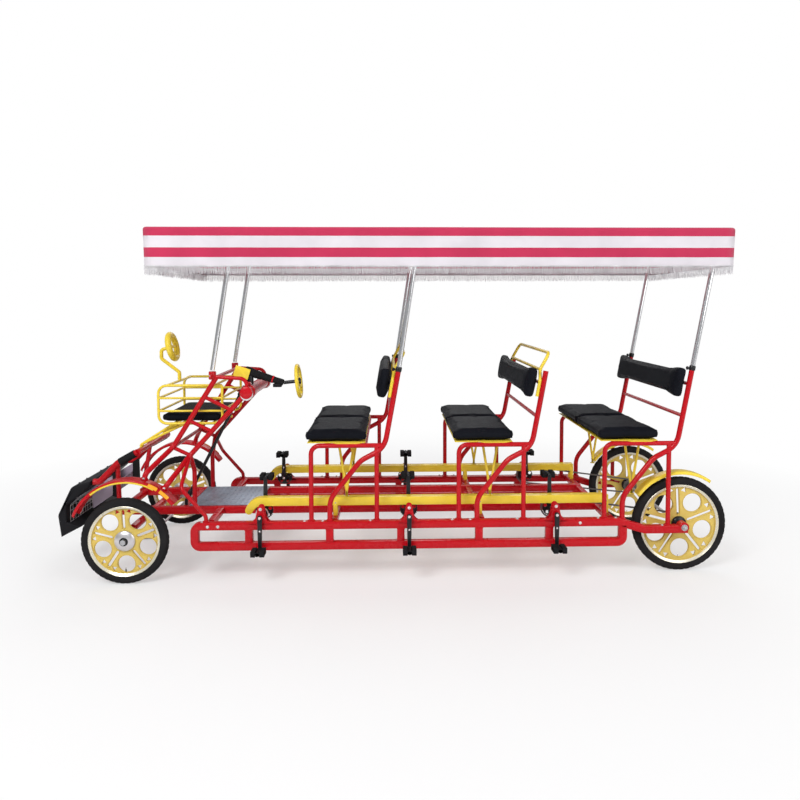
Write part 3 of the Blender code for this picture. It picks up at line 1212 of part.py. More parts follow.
def basket():
    """The child basket of rods on its bracket, its cushion and the hand ring on its stalk."""
    pieces = []
    corners = [
        (BASKET_REAR_X, BASKET_TOP_Z),
        (BASKET_FRONT_X, BASKET_TOP_Z),
        (BASKET_FRONT_X, BASKET_BOTTOM_Z),
        (BASKET_REAR_X, BASKET_BOTTOM_Z),
        (BASKET_REAR_X, BASKET_TOP_Z),
    ]
    height = BASKET_TOP_Z - BASKET_BOTTOM_Z
    rod_r = BASKET_ROD_RADIUS
    for sign in SIDES.values():
        y = sign * BASKET_HALF_WIDTH
        pieces.append(side_tube(y, corners, rod_r, BASKET_BEND, ROD_RESOLUTION))
        for share in BASKET_RAIL_SHARES:
            z = BASKET_BOTTOM_Z + height * share
            ends = [(BASKET_FRONT_X, z), (BASKET_REAR_X, z)]
            pieces.append(side_tube(y, ends, rod_r * BASKET_RAIL_ROD_SHARE, None, ROD_RESOLUTION))
    for share in (*BASKET_RAIL_SHARES, 1):
        z = BASKET_BOTTOM_Z + height * share
        for x in (BASKET_FRONT_X, BASKET_REAR_X):
            inwards = BASKET_BEND if x == BASKET_FRONT_X else -BASKET_BEND
            place = x + inwards if share == 1 else x
            ends = [(place, -BASKET_HALF_WIDTH, z), (place, BASKET_HALF_WIDTH, z)]
            pieces.append(tube(ends, rod_r * BASKET_END_ROD_SHARE, None, ROD_RESOLUTION))
    level = BASKET_REAR_X - BASKET_FRONT_X - BASKET_BEND * BASKET_LEVEL_SHARE
    start = BASKET_FRONT_X + BASKET_BEND + level / BASKET_BARS / 2
    bars = [start + level * bar / BASKET_BARS for bar in range(BASKET_BARS)]
    for x in bars:
        ends = [(x, -BASKET_HALF_WIDTH, BASKET_BOTTOM_Z), (x, BASKET_HALF_WIDTH, BASKET_BOTTOM_Z)]
        pieces.append(tube(ends, rod_r * BASKET_BAR_ROD_SHARE, None, ROD_RESOLUTION))
    foot_z = NOSE_REAR[1] + NOSE_TUBE_RADIUS * NOSE_BAR_SHARE + GAP
    for top_x, spread in zip(bars, BRACKET_SPREAD_SHARES):
        for sign in SIDES.values():
            y = sign * NOSE_TUBE_Y * spread
            points = [(NOSE_REAR[0], y, z) for z in (foot_z, foot_z + rod_r * 2)]
            points.append((top_x, y, BASKET_BOTTOM_Z))
            pieces.append(tube(points, rod_r * BRACKET_ROD_SHARE, rod_r * 2, ROD_RESOLUTION))
    start = BASKET_FRONT_X + BASKET_BEND * BASKET_KEEL_SHARE
    rail = [(start, 0, BASKET_BOTTOM_Z), (BASKET_REAR_X, 0, BASKET_BOTTOM_Z)]
    pieces.append(tube(rail, rod_r * BRACKET_ROD_SHARE, None, ROD_RESOLUTION))
    part("child_basket", "yellow", pieces)
    inset = BASKET_CUSHION_INSET
    bottom = BASKET_BOTTOM_Z + rod_r * BRACKET_ROD_SHARE
    low = (BASKET_FRONT_X + inset, -BASKET_HALF_WIDTH + inset, bottom)
    high = (BASKET_REAR_X - inset, BASKET_HALF_WIDTH - inset, bottom + BASKET_CUSHION_HEIGHT)
    cushion = box(low, high)
    soften(cushion, CUSHION_EDGE)
    part("basket_cushion", "vinyl", [cushion])
    hand_ring()


def hand_ring():
    """The child's hand ring on its bent stalk, standing on the basket's front bar."""
    axis = Vector((math.cos(HAND_RING_LEAN), 0, math.sin(HAND_RING_LEAN)))
    centre = Vector((RING_X, 0, RING_Z))
    pieces = [torus(centre, axis, HAND_RING_RADIUS, HAND_RING_ROD, sides=6)]
    reach = Vector((0, HAND_RING_RADIUS, 0))
    pieces.append(tube([centre - reach, centre + reach], HAND_RING_ROD * RING_BAR_SHARE))
    seat = (BASKET_FRONT_X + BASKET_BEND, 0, BASKET_TOP_Z + BASKET_ROD_RADIUS * RING_SEAT_SHARE + GAP)
    stalk = [centre, (RING_STALK_X, 0, RING_Z - HAND_RING_ROD), (RING_STALK_X, 0, RING_Z - HAND_RING_RADIUS),
             (seat[0], 0, seat[2] + HAND_RING_ROD * STALK_RISE_SHARE), seat]
    pieces.append(tube(stalk, HAND_RING_ROD * STALK_ROD_SHARE, HAND_RING_ROD, ROD_RESOLUTION))
    part("hand_ring", "yellow", pieces)


wheels()
side_frames()
cranks()
chain_guards()
chains()
floor_frame()
rear_axle()
front_axle()
steering()
front_frame()
fenders()
nose()
seats()
canopy()
canopy_frame()
basket()
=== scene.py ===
"""Looks of the six-seat surrey bike: every surface that shows, in metres, in the frame of its solids.

The front is towards -X and the vehicle's left side, which the camera sees, towards -Y."""

import math
import random

import bmesh
import bpy
from mathutils import Matrix, Vector
from mathutils.bvhtree import BVHTree


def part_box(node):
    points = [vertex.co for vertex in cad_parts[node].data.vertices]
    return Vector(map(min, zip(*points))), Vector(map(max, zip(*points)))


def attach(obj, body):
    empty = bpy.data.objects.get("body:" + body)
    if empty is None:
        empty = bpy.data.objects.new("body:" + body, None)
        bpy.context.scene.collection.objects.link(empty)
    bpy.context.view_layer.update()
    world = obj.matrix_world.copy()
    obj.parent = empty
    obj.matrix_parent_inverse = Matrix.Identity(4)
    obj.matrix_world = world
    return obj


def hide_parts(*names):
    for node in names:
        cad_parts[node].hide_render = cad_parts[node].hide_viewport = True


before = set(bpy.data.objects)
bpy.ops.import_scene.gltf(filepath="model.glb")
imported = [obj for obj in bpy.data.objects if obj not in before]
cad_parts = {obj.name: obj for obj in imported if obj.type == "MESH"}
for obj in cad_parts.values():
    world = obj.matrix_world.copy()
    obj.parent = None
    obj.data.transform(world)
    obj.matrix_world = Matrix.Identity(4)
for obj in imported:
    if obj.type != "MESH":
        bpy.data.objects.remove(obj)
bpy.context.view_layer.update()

# Fineness
TUBE_SIDES = 12
BEND_STEPS = 6
RING_STEPS = 40
WHEEL_STEPS = 96
SEED = 7
CREASE = 38
TYRE_CREASE = 28
ROD_SIDES = 8
EDGE = 0.001
THIN_EDGE = 0.0008
PLATE_EDGE = 0.0012
SOFT_EDGE = 0.003
PART_EDGE = 0.002

# Wheels
AXLE_REAR_X = 1.559
AXLE_FRONT_X = -1.379
FRONT_WHEEL_RADIUS = 0.224
REAR_WHEEL_RADIUS = 0.255
FRONT_HALF_TRACK = 0.51
REAR_HALF_TRACK = 0.42
TYRE_WIDTH = 0.05
TYRE_DEPTH = 0.042
RIM_DEPTH = 0.012
WHEEL_PLATE = 0.012
SPOKES = 5
FRONT_HUB_RADIUS = 0.053
REAR_HUB_RADIUS = 0.04
SLOT_WIDTH = 0.015
SPOKE_TURN = 92.9
HOLE_SHARE = 0.2
HOLE_RING_SHARE = 0.585
FORK_SHARE = 0.088
AXLE_RADIUS = 0.0085
# Pairs of a height and a share of the half width
SIDEWALL = ((0, 0.76), (0.004, 0.9), (0.012, 0.97), (0.022, 1), (0.03, 0.95))
TREAD = ((0.006, 0.8), (0.0045, 0.62), (0.0035, 0.58), (0.0012, 0.5), (0.0003, 0.2), (0.003, 0.14),
         (0.003, 0.06))
TREAD_BLOCK = 4
TREAD_GROOVE = 0.0016
TREAD_REACH = 0.008
TREAD_MIDDLE_SHARE = 0.15
RIM_LIP = ((-0.0115, 0.6), (-0.003, 0.8), (0.0005, 0.9), (0.002, 0.86), (0.001, 0.7), (-0.009, 0.5))
RIM_BARREL = ((0, 0.72), (0.004, 0.68), (0.01, 0.36), (0.012, 0.3))
HOLE_STEPS = 24
SLOT_START_SHARE = 1.22
SLOT_END_SHARE = 0.95
RIB_RADIUS = 0.003
RIB_FLAT_SHARE = 2.8
RIB_GAP = 0.002
FORK_RING_SHARE = 0.915
FORK_TURN = 11.5
FORK_LEAN = 24
WHEEL_EDGE = 0.0015
HUB_CAP_SHARE = 1.02
HUB_STEP = 0.004
HUB_DISC = ((1, 0.55), (0.93, 0.72), (0.6, 0.9), (0.46, 1))
HUB_BORE = 0.0105
HUB_SEAT = ((0.42, 0), (0.42, 0.002), (0.3, 0.0025))
VALVE_LENGTH = 0.018
VALVE_RADIUS = 0.0035
VALVE_TIP = 0.026
VALVE_TIP_RADIUS = 0.0022

# Side frames
RAIL_HALF = 0.021
RAIL_EDGE = 0.006
RAIL_Y = 0.481
UPPER_RAIL_Z = 0.287
LOWER_RAIL_Z = 0.178
RAIL_FRONT_X = -1.028
RAIL_REAR_X = 1.233
RAIL_BEND = 0.03
ARM_Z = 0.244
ARM_STEP_FRONT_X = 1.207
ARM_STEP_REAR_X = 1.351
UPRIGHT_HALF = 0.0195
UPRIGHT_X = (-0.746, -0.324, 0.05, 0.464, 0.839)
BEARING_RADIUS = 0.027
BEARING_LENGTH = 0.05
TUCK_SHARE = 0.9
UPRIGHT_SHARE = 0.95
WELD_RADIUS = 0.0028
WELD_SINK = 0.004
AXLE_BORE = 0.0095
BOLT_SIDE = 0.008
RAIL_BOLT = 0.006
BOLT_RUNS = (-0.035, 0.06, 0.31)
SIDE_BOLT_X = (-0.958, -0.905, 1.0)

# Cranks
ROW_PITCH = 0.777
ROW_COUNT = 3
CRANK_FRONT_X = -0.683
CRANK_Z = 0.338
SHELL_RADIUS = 0.021
SHELL_LENGTH = 0.052
GUSSET_FOOT = 0.062
GUSSET_HEAD = 0.017
GUSSET_TOP_Z = 0.395
GUSSET_PLATE = 0.005
FLARE_HEAD_SHARE = 0.1
FLARE_FOOT_SHARE = 0.62
FLARE_RISE = 0.052
FLARE_SINK = 0.012
BRIDGE_SHARE = 0.8
BRIDGE_DEPTH = (0.016, 0.012)
SHELL_BORE = 0.009
RING_THICKNESS = 0.003
SHELL_DISC = ((0.031, -0.002), (0.031, 0.002))
SHELL_RING = ((0.0345, -0.003), (0.0345, 0.003), (0.0295, 0.003), (0.0295, -0.003))
BOLT_SEAT = ((0.014, 0), (0.014, 0.003), (0.011, 0.0035))
GUSSET_BOLT = 0.0062
SPINDLE_RADIUS = 0.008
ARM_LENGTH = 0.163
ARM_THICKNESS = 0.012
ARM_WIDTH = 0.026
CRANK_OUTER_Y = 0.52
CRANK_INNER_Y = 0.333
CHAINRING_RADIUS = 0.05
CHAINRING_THICKNESS = 0.004
PEDAL_WIDTH = 0.078
PEDAL_LENGTH = 0.07
PEDAL_HEIGHT = 0.03
PEDAL_PIN_GAP = 0.006
TOOTH = ((0.0, 1), (0.25, 0.8), (0.42, 0), (0.58, 0), (0.75, 0.8))
TOOTH_DEPTH = 0.0045
CHAINRING_TEETH = 30
CHAINRING_HOLE_RING = 0.032
CHAINRING_HOLE = 0.0095
CHAINRING_EDGE = 0.0006
CHAINRING_HUB = ((0.02, -0.006), (0.02, 0.006))
ARM_TIP_SHARE = 0.38
ARM_BOLTS = ((0.0055, 0), (0.0035, 0.42))
PEDAL_PIN_RADIUS = 0.006
TREAD_START_SHARE = 0.34
PEDAL_FLAT_SHARE = 0.9
PEDAL_END = 0.004
PEDAL_END_SHARE = 0.6
PEDAL_EDGE = 0.0015
PEDAL_RIBS = 6
PEDAL_RIB_START = 0.6
PEDAL_RIB_COUNT = 6.2
RIB_HALF = 0.003
REFLECTOR_DEPTH = 0.003
REFLECTOR_INSET = 0.02
REFLECTOR_SHARE = 0.45
BARREL_RADIUS = 0.011

# Chain guards and chains
GUARD_Y = 0.376
GUARD_WIDTH = 0.05
GUARD_BOTTOM_Z = 0.368
GUARD_HEIGHT = 0.041
GUARD_WALL = 0.002
GUARD_FRONT_X = -0.786
GUARD_REAR_X = 1.18
GUARD_BEND = 0.09
GUARD_TURN = 72
CHAIN_RADIUS = 0.054
SPROCKET_RADIUS = 0.043
LINK_PITCH = 0.0127
GUARD_STRIP = 0.0018
HEM_RADIUS = (0.0022, 0.0026)
STAY_HALF = 0.011
STAY_RISE = 0.02
STAY_BOLT_RISE = 0.012
STAY_BOLT = 0.004
LINK_HALF = 0.0042
LINK_OFFSETS = (0.0024, 0.0034)
LINK_THICKNESS = 0.0009
LINK_EDGE = 0.0002
PIN_HALF = 0.0038
ROLLER_RADIUS = 0.0028
SPROCKET_TEETH = 20
SPROCKET_THICKNESS = 0.0035
SPROCKET_EDGE = 0.0005
SPROCKET_HUB = [(0.02, -0.012), (0.022, -0.01)]

# Floor frame
INNER_RAIL_Y = 0.205
INNER_RAIL_Z = 0.295
INNER_RAIL_FRONT_X = -1.54
CROSS_HALF = 0.0165
CROSS_X = (-0.95, -0.3, 0.48, 1.17)
SHAFT_FOOT_X = -1.16
AXLE_END = 0.012
AXLE_NUT = 0.0125
INNER_CROSS_X = (-1.507, -1.16)
TREAD_GRID = (14, 13)
TREAD_BAR = (0.011, 0.0035, 0.0014)
TREAD_TOP = (0.75, 0.55)
PLATE_BOLT_SHARE = 0.97
PLATE_BOLT_INSET = 0.03

# Steering
COLUMN_Y = 0.2
COLUMN_START = (-0.81, 1.075)
COLUMN_END = (-0.6, 1.008)
SHAFT_Y = 0.165
SHAFT_RADIUS = 0.009
HAND_WHEEL_X = -0.515
HAND_WHEEL_RISE = math.radians(6)
HAND_WHEEL_RADIUS = 0.087
HAND_WHEEL_ROD = 0.01
COLUMN_FOOT = [(0.026, 0.0), (0.028, 0.004), (0.027, 0.03)]
COLUMN_RIBS = 5
RIB_START = 0.035
RIB_PITCH = 0.014
RIB_TAPER = 0.0008
RIB_TOP = 0.0265
RIB_LOW = 0.0235
COLUMN_STEM = ((0.021, 0.55, 0), (0.018, 0.8, 0), (0.0185, 1, 0.012), (0.0165, 1, 0))
STEM_CLAMP = ((0.0215, 0), (0.0215, 0.06), (0.017, 0.07), (0.017, 0.085))
COLUMN_RING = ((0.0215, -0.004), (0.0215, 0.004))
COLUMN_RING_SHARE = 0.72
POD_SHARE = 0.86
POD_DROP = 0.022
POD_BOX = ((-0.028, -0.014, -0.012), (0.02, 0.014, 0.008))
POD_EDGE = 0.005
SHAFT_BEND = 0.02
SHAFT_JOINT = [(0.012, -0.018), (0.014, -0.014), (0.014, 0.014), (0.012, 0.018)]
SHAFT_JOINT_SHARES = (0.06, 0.94)
HAND_WHEEL_SPOKES = 3
HAND_WHEEL_HUB = 0.012
HAND_SPOKE_SECTION = (0.011, 0.004, 0.003)
HAND_WHEEL_CAP = ((0.01, -0.012), (0.018, -0.008), (0.02, 0.004), (0.016, 0.011), (0.01, 0.013))
COLUMN_PIN_RADIUS = 0.01

# Front frame
STRUT_RADIUS = 0.014
STRUT_Y = 0.287
STRUT_FOOT_Y = 0.49
STRUT_A_KNEE = (-1.193, 0.665)
STRUT_A_TOP = (-0.95, 1.05)
STRUT_B_KNEE = (-1.1, 0.62)
STRUT_B_TOP = (-0.787, 0.965)
STRUT_FEET = (75, 53)
STRUT_BEND = 0.05
STEP_SHARES = (0.0, 0.38, 0.72)
HEAD_TUBE_RADIUS = 0.034
HEAD_TUBE_HALF = 0.31
DOWN_TUBE_X = -1.1
BRACE_FOOT_X = -0.97
STRUT_FOOT_LENGTH = 0.03
STRUT_FLANGE = ((0.02, 0), (0.02, 0.004), (0.0155, 0.007))
FOOT_BOLT_RISE = 0.006
FOOT_BOLT_SIDE = 0.017
THIN_SHARE = 0.75
DOWN_TUBE_DROP = 0.1
DOWN_TUBE_SHARE = 0.9
BRACE_RISES = (0.05, 0.2)
BRACE_FLANGE = ((0.018, 0), (0.018, 0.004), (0.012, 0.006))
BRACE_BOLT = (0.02, 0.006)
SOCKET_DROP = 0.05
SOCKET = ((0.018, 0), (0.02, 0.003), (0.02, 0.04), (0.0175, 0.044))
SOCKET_TAIL = 0.03
SOCKET_EAR = ((-0.005, -0.036, 0.012), (0.005, -0.016, 0.032))
SOCKET_BOLT = (-0.005, -0.028, 0.022)
SOCKET_BOLT_SIZE = 0.005
HEAD_CLAMP = ((0.037, 0.05), (0.039, 0.053), (0.039, 0.085), (0.037, 0.088))
HEAD_EAR = ((-0.012, 0.055, 0.03), (0.012, 0.083, 0.052))
HEAD_BOLT = (0.013, 0.069, 0.042)
HEAD_BOLT_SIZE = 0.0055
HEAD_CAP = ((0.034, -0.0005), (0.034, -0.003), (0.03, -0.006), (0.012, -0.0075))
HEAD_RING = ((0.032, 0.002), (0.034, 0.004), (0.034, 0.02), (0.032, 0.022))
HEAD_RING_DROP = 0.011
BADGE_PLACE = (-0.824, -0.232, 1.069)
BADGE_LEAN = 0.31
BADGE_HALF = (0.042, 0.0015, 0.03)

# Fenders
FENDER_FLANGE = 0.014
FENDER_WALL = 0.002
FENDER_STEPS = 48
FENDER_EDGE = ((0, FENDER_FLANGE), (0, 0.006), (0.002, 0.0025), (0.007, 0.0004))
FENDER_SKIRT = 0.01
FENDER_END = 0.012
FENDER_ROUND = 0.2
ROLL_RADIUS = 0.0028
REFLECTOR_SECTION = (0.009, 0.0022, 0.0012)
REFLECTOR_SINK = 0.005
REFLECTOR_LEAN = (0.6, 0.8)
LINE_OUT = 0.0012
LINE_RADIUS = 0.0048
TAB_HALF = 0.012
TAB_DROPS = (0.014, 0.006)
TAB_BOLT = 0.005
REFLECTORS = ((67, 57), (54, 43))
FENDER_LINE = (128, 60)
FRONT_FENDER = {"centre": (-1.36, 0.25), "radius": 0.3, "width": 0.085, "turn": (35, 158)}
REAR_FENDER = {"centre": (AXLE_REAR_X, REAR_WHEEL_RADIUS), "radius": 0.29, "width": 0.07, "turn": (55, 145)}

# Nose
BUMPER_HALF_WIDTH = 0.31
BUMPER_OUTER = ((-1.634, 0.486), (-1.74, 0.455), (-1.8155, 0.3), (-1.8, 0.178))
BUMPER_INNER = ((-1.69, 0.236), (-1.7655, 0.261), (-1.7655, 0.3553), (-1.685, 0.415), (-1.634, 0.461))
NOSE_TUBE_RADIUS = 0.018
NOSE_TUBE_Y = 0.27
PANEL_Y = 0.162
NOSE_START = (-1.632, 0.4735)
NOSE_KNEE = (-1.5, 0.575)
NOSE_REAR = (-1.39, 0.637)
LAMP_RADIUS = 0.04
LAMP_DEPTH = 0.03
LAMP_Y = 0.2
LAMP_Z = 0.315
BUMPER_BEND = 0.04
BUMPER_EDGE = 0.012
BUMPER_RIB = 0.006
BUMPER_RIB_Y = (-0.2, -0.1, 0.1, 0.2)
BUMPER_RIB_SINK = 0.0035
LAMP_BOWL = ((0.03, 0.0003), (0.034, 0.004), (LAMP_RADIUS, 0.02), (LAMP_RADIUS, LAMP_DEPTH - 0.004),
             (0.037, LAMP_DEPTH))
LAMP_LENS = ((0.036, LAMP_DEPTH), (0.03, LAMP_DEPTH + 0.005), (0.012, LAMP_DEPTH + 0.008))
LAMP_BAR_X = 0.015
LAMP_BAR_RADIUS = 0.009
GRILLE_WIRES = 19
GRILLE_ROD = 0.0016
GRILLE_BEND = 0.02
GRILLE_SHARE = 0.93
GRILLE_LINE = ((0.012, 0.25), (0.012, 0.352), (0.07, 0.405))
GRILLE_BARS = ((0.012, 0.26), (0.012, 0.29), (0.012, 0.32), (0.014, 0.348), (0.05, 0.39))
NOSE_FLAT = 0.034
NOSE_BEND = 0.036
NOSE_STAY_RISE = 0.036
NOSE_STAY_RADIUS = 0.0126
NOSE_STAY_BEND = 0.02
NOSE_BAR_RADIUS = 0.0162
SLEEVE_SHARES = (0.12, 0.88)
SLEEVE_RADIUS = 0.0215
PANEL_LINE = ((-1.69, 0.355), (-1.572, 0.43))
PANEL_SECTION = (0.0015, 0.001)
PANEL_SIDE = ((-1.69, 0.412), (-1.571, 0.48), (-1.573, 0.371), (-1.681, 0.297))
PANEL_FLAP = ((-1.571, 0.49), (-1.53, 0.515), (-1.527, 0.35), (-1.573, 0.365))

# Seats
SEAT_FRONT_X = -0.42
SEAT_DEPTH = 0.344
SEAT_Y = 0.48
SEAT_TUBE_Z = 0.705
SEAT_TUBE_RADIUS = 0.0125
SEAT_BEND = 0.045
POST_RADIUS = 0.014
POST_POINTS = ((0.097, 0.42), (0.26, 0.625), (0.385, 0.69), (0.459, 1.093))
POST_BEND = 0.12
POST_CROSS_SHARES = (0.4, 0.82)
PAN_RUN = (-0.02, 0.285)
PAN_HALF_WIDTH = 0.488
STRUT_RUN = 0.18
STRUT_SPREAD = 0.045
CUSHION_RUN = (-0.03, 0.29)
CUSHION_Z = 0.7221
CUSHION_HEIGHT = 0.066
CUSHION_Y = (0.012, 0.478)
PAD_HEIGHT = 0.155
PAD_THICKNESS = 0.07
PAD_HALF_WIDTH = 0.49
SEAM_STEP = 0.015
LOOP_RADIUS = 0.009
LOOP_Z = (0.955, 1.045, 1.185)
LOOP_LEAN = 0.05
LOOP_INSET = 0.05
SEAT_FLANGE = ((0.0195, 0.003), (0.0145, 0.006))
SLOPED_FLANGE = 0.007
SEAT_CROSS_RADIUS = 0.01
CLAMP_BACK = 0.004
CLAMP_AXIS = (1, 0, 0.2)
CLAMP_HOOP = (0.013, 0.0025)
PAN_GAP = 0.0004
PAN_THICKNESS = 0.004
PAN_INSET = 0.01
PAN_BEND = 0.0018
PAN_EDGE = 0.0015
LIP_SHARES = (0.42, 0.55)
LIP_STEPS = (0, 0.1, 0.25, 0.5, 0.75, 0.9, 1)
LIP_DEPTH = 0.012
LIP_WIDTH = 0.006
V_RADIUS = 0.007
V_BEND = 0.014
V_FOOT = 0.028
V_PLATE = (0.014, 0.012)
V_BOLT_RUN = 0.01
V_BOLT = 0.0035
LOOP_BEND = 0.04
LOOP_BAR_SHARE = 0.9
# Padding: the block's rounded edge, how far it may swell, and its share before that
CUSHION_SHAPE = (0.024, 0.016, 0.9)
PAD_SHAPE = (0.022, 0.014, 0.92)
BASKET_CUSHION_SHAPE = (0.018, 0.012, 0.92)
SEAM_SHARES = (0.3, 0.28)
SEAM_BEND = 0.03
SEAM_RODS = (0.0026, 0.0022)
SOFT_CREASE = 60
BLOCK_FLATTEN = 0.94
BLOCK_STEPS = 3
BLOCK_ROUND = 0.6
VOXEL = 0.0065
CLOTH_PRESSURE = 4.0
CLOTH_QUALITY = 5
CLOTH_STEPS = 20

# Canopy
CANOPY_X = (-1.226, 1.752)
CANOPY_HALF_WIDTH = 0.601
CANOPY_EDGE_Z = 1.832
CANOPY_CROWN = 0.012
CANOPY_FOLD = 0.014
VALANCE_BANDS = (0.045, 0.058, 0.048, 0.044)
TOP_BAND = 0.05
FRINGE_LENGTH = 0.04
FRINGE_PITCH = 0.0042
CANOPY_TUBE_RADIUS = 0.0115
ROOF_STEPS = 90
TOP_BAND_END = 0.02
ROOF_SAG = 0.006
ROOF_RIPPLE = 0.0012
RIPPLE_TURNS = (23, 9)
FOLD_TURNS = (22.5, 45, 67.5, 90)
# The valance's waves: size, turns along the rim, start
VALANCE_WAVES = ((0.004, 31, 0), (0.003, 13, 1.3))
VALANCE_TUCK = 0.006
BRAID_SECTION = (0.0012, 0.0045, 0.0008)
THREAD_RADIUS = 0.0011
THREAD_LEAN = 0.004
THREAD_BOW = 0.0018
THREAD_ROOT = 0.002
THREAD_LENGTHS = (0.82, 1.08)
CANOPY_TUBE_INSET = 0.016
CANOPY_TUBE_DROP = 0.0165
CANOPY_CROSS_SHARE = 0.95
POLE_COLLAR = ((0.0145, 0.0), (0.0165, 0.004), (0.0165, 0.022), (0.0135, 0.026))
POLE_COLLAR_DROP = 0.034
KNOB = ((0.004, 0.012), (0.004, 0.02), (0.009, 0.022), (0.01, 0.029), (0.007, 0.032))
KNOB_RISE = 0.013
POLE_RADIUS = 0.0125
POLES = (((-0.972, 1.087), -0.853, STRUT_Y), ((0.039, 1.093), 0.1505, SEAT_Y),
         ((1.593, 1.093), 1.726, SEAT_Y))

# Child basket
BASKET_HALF_WIDTH = 0.25
BASKET_X = (-1.278, -0.93)
BASKET_Z = (0.79, 1.0)
BASKET_BEND = 0.045
BASKET_ROD = 0.0075
RING_CENTRE = (-1.27, 0, 1.2)
HAND_RING_RADIUS = 0.07
HAND_RING_ROD = 0.018
HAND_RING_LEAN = math.radians(12)
RING_STALK_X = -1.335
BASKET_RODS = {"side": 0.006, "end": 0.0065, "top": 0.0069, "floor": 0.0064, "strut": 0.0068}
BASKET_SHARES = (0.33, 0.67)
BASKET_BARS = 4
BASKET_LEVEL_END = 1.5
BRACKET_SPREAD_SHARES = (0.7, 0.8)
BRACKET_FOOT = 0.015
BASKET_SPINE_INSET = 0.036
RING_BAR_RADIUS = 0.0078
STALK_RADIUS = 0.0104
STALK_BEND = 0.02
STALK_RISE = 0.044
STALK_SEAT = 0.0066

# Picture
IMAGE_WIDTH = 800
SENSOR = 36.0
FOCAL_PIXELS = 720.0
CENTRE_PIXELS = (412.5, 341.8)
CAMERA_PLACE = (-0.006, -4.23, 1.449)
CAMERA_TURN = (math.radians(86.95), math.radians(0.09), math.radians(-1.83))
FLOOR_HALF = 30
FLOOR_GREY = 0.86
FLOOR_ROUGHNESS = 0.9
FLOOR_FADE = {"from_min": 1.0, "from_max": 4.0, "to_min": 0.3}
SKY = ((0.24, 0.25, 0.26), (0.5, 0.5, 0.51), (0.0, 0.6))
# Area lamps: name, place, size, power
AREA_LAMPS = (("key", (-3.0, -5.5, 5.5), 3.0, 360), ("fill", (4.5, -4.0, 3.0), 4.0, 130),
              ("back", (0.5, 5.5, 5.0), 5.0, 170))
LAMP_AIM = (0, 0, 0.7)

SIDES = {"left": -1, "right": 1}
ACROSS = Vector((0, 1, 0))
UP = Vector((0, 0, 1))
chance = random.Random(SEED)


# Materials

def add_node(tree, kind, **values):
    """A node of that kind, its attributes and inputs set by name."""
    made = tree.nodes.new("ShaderNode" + kind)
    for key, value in values.items():
        label = key.replace("_", " ").title()
        if label not in made.inputs:
            setattr(made, key, value)
        elif isinstance(value, bpy.types.NodeSocket):
            tree.links.new(value, made.inputs[label])
        else:
            made.inputs[label].default_value = value
    return made


def place_of(tree, stretch=(1, 1, 1)):
    """The surface's place in its own object, stretched along each axis."""
    place = add_node(tree, "TexCoord").outputs["Object"]
    return add_node(tree, "Mapping", vector=place, scale=stretch).outputs["Vector"]


def noise(tree, scale, detail=3.0, stretch=(1, 1, 1)):
    """A noise over the surface."""
    return add_node(tree, "TexNoise", vector=place_of(tree, stretch), scale=scale,
                    detail=detail).outputs["Fac"]


def shades(tree, factor, dark, light, stops=(0.3, 0.7)):
    """Colours from dark to light along a factor."""
    ramp = add_node(tree, "ValToRGB", fac=factor)
    for element, stop, colour in zip(ramp.color_ramp.elements, stops, (dark, light)):
        element.position = stop
        element.color = (*colour, 1)
    return ramp.outputs["Color"]


def between_values(tree, factor, low, high):
    """A value from low to high along a factor."""
    return add_node(tree, "MapRange", value=factor, to_min=low, to_max=high).outputs["Result"]


def scaled(colour, share):
    """The colour made darker or lighter."""
    return tuple(min(1.0, channel * share) for channel in colour)


def coat(name, colour, rough, grain, depth, metal=0.0, cloudy=3.0, darker=0.85, gloss=0.0, sheen=0.0,
         shine=0.2):
    """A finish whose colour and roughness vary in soft clouds, over a fine relief."""
    made = bpy.data.materials.new(name + "_look")
    made.use_nodes = True
    tree = made.node_tree
    shader = tree.nodes["Principled BSDF"]
    clouds = noise(tree, cloudy, 4.0)
    tree.links.new(shades(tree, clouds, scaled(colour, darker), scaled(colour, 1.04)),
                   shader.inputs["Base Color"])
    tree.links.new(between_values(tree, noise(tree, cloudy * 5), *rough), shader.inputs["Roughness"])
    shader.inputs["Metallic"].default_value = metal
    shader.inputs["Coat Weight"].default_value = gloss
    shader.inputs["Specular IOR Level"].default_value = 0.5 if metal else shine
    shader.inputs["Sheen Weight"].default_value = sheen
    relief = add_node(tree, "Bump", height=noise(tree, grain, 2.0), strength=depth, distance=0.001)
    tree.links.new(relief.outputs["Normal"], shader.inputs["Normal"])
    return made, tree, shader, relief


def plain(name, colour, rough, grain, depth, **more):
    """A finish with nothing but its clouds and its relief."""
    return coat(name, colour, rough, grain, depth, **more)[0]


def leather(name, colour):
    """Vinyl with a pebbled grain of small cells."""
    made, tree, shader, relief = coat(name, colour, (0.42, 0.58), 60, 0.3, cloudy=6, darker=0.7, shine=0.03)
    cells = add_node(tree, "TexVoronoi", vector=place_of(tree), scale=420.0, feature="DISTANCE_TO_EDGE")
    height = between_values(tree, cells.outputs["Distance"], 0.0, 4.0)
    tree.links.new(height, relief.inputs["Height"])
    return made


def woven(name, colour):
    """Cloth with crossing threads."""
    made, tree, shader, relief = coat(name, colour, (0.75, 0.95), 60, 0.25, cloudy=5, darker=0.88, sheen=0.25)
    place = place_of(tree)
    warp = add_node(tree, "TexWave", vector=place, scale=260.0, bands_direction="X").outputs["Fac"]
    weft = add_node(tree, "TexWave", vector=place, scale=260.0, bands_direction="Z").outputs["Fac"]
    height = add_node(tree, "Math", operation="MAXIMUM")
    tree.links.new(warp, height.inputs[0])
    tree.links.new(weft, height.inputs[1])
    tree.links.new(height.outputs[0], relief.inputs["Height"])
    return made


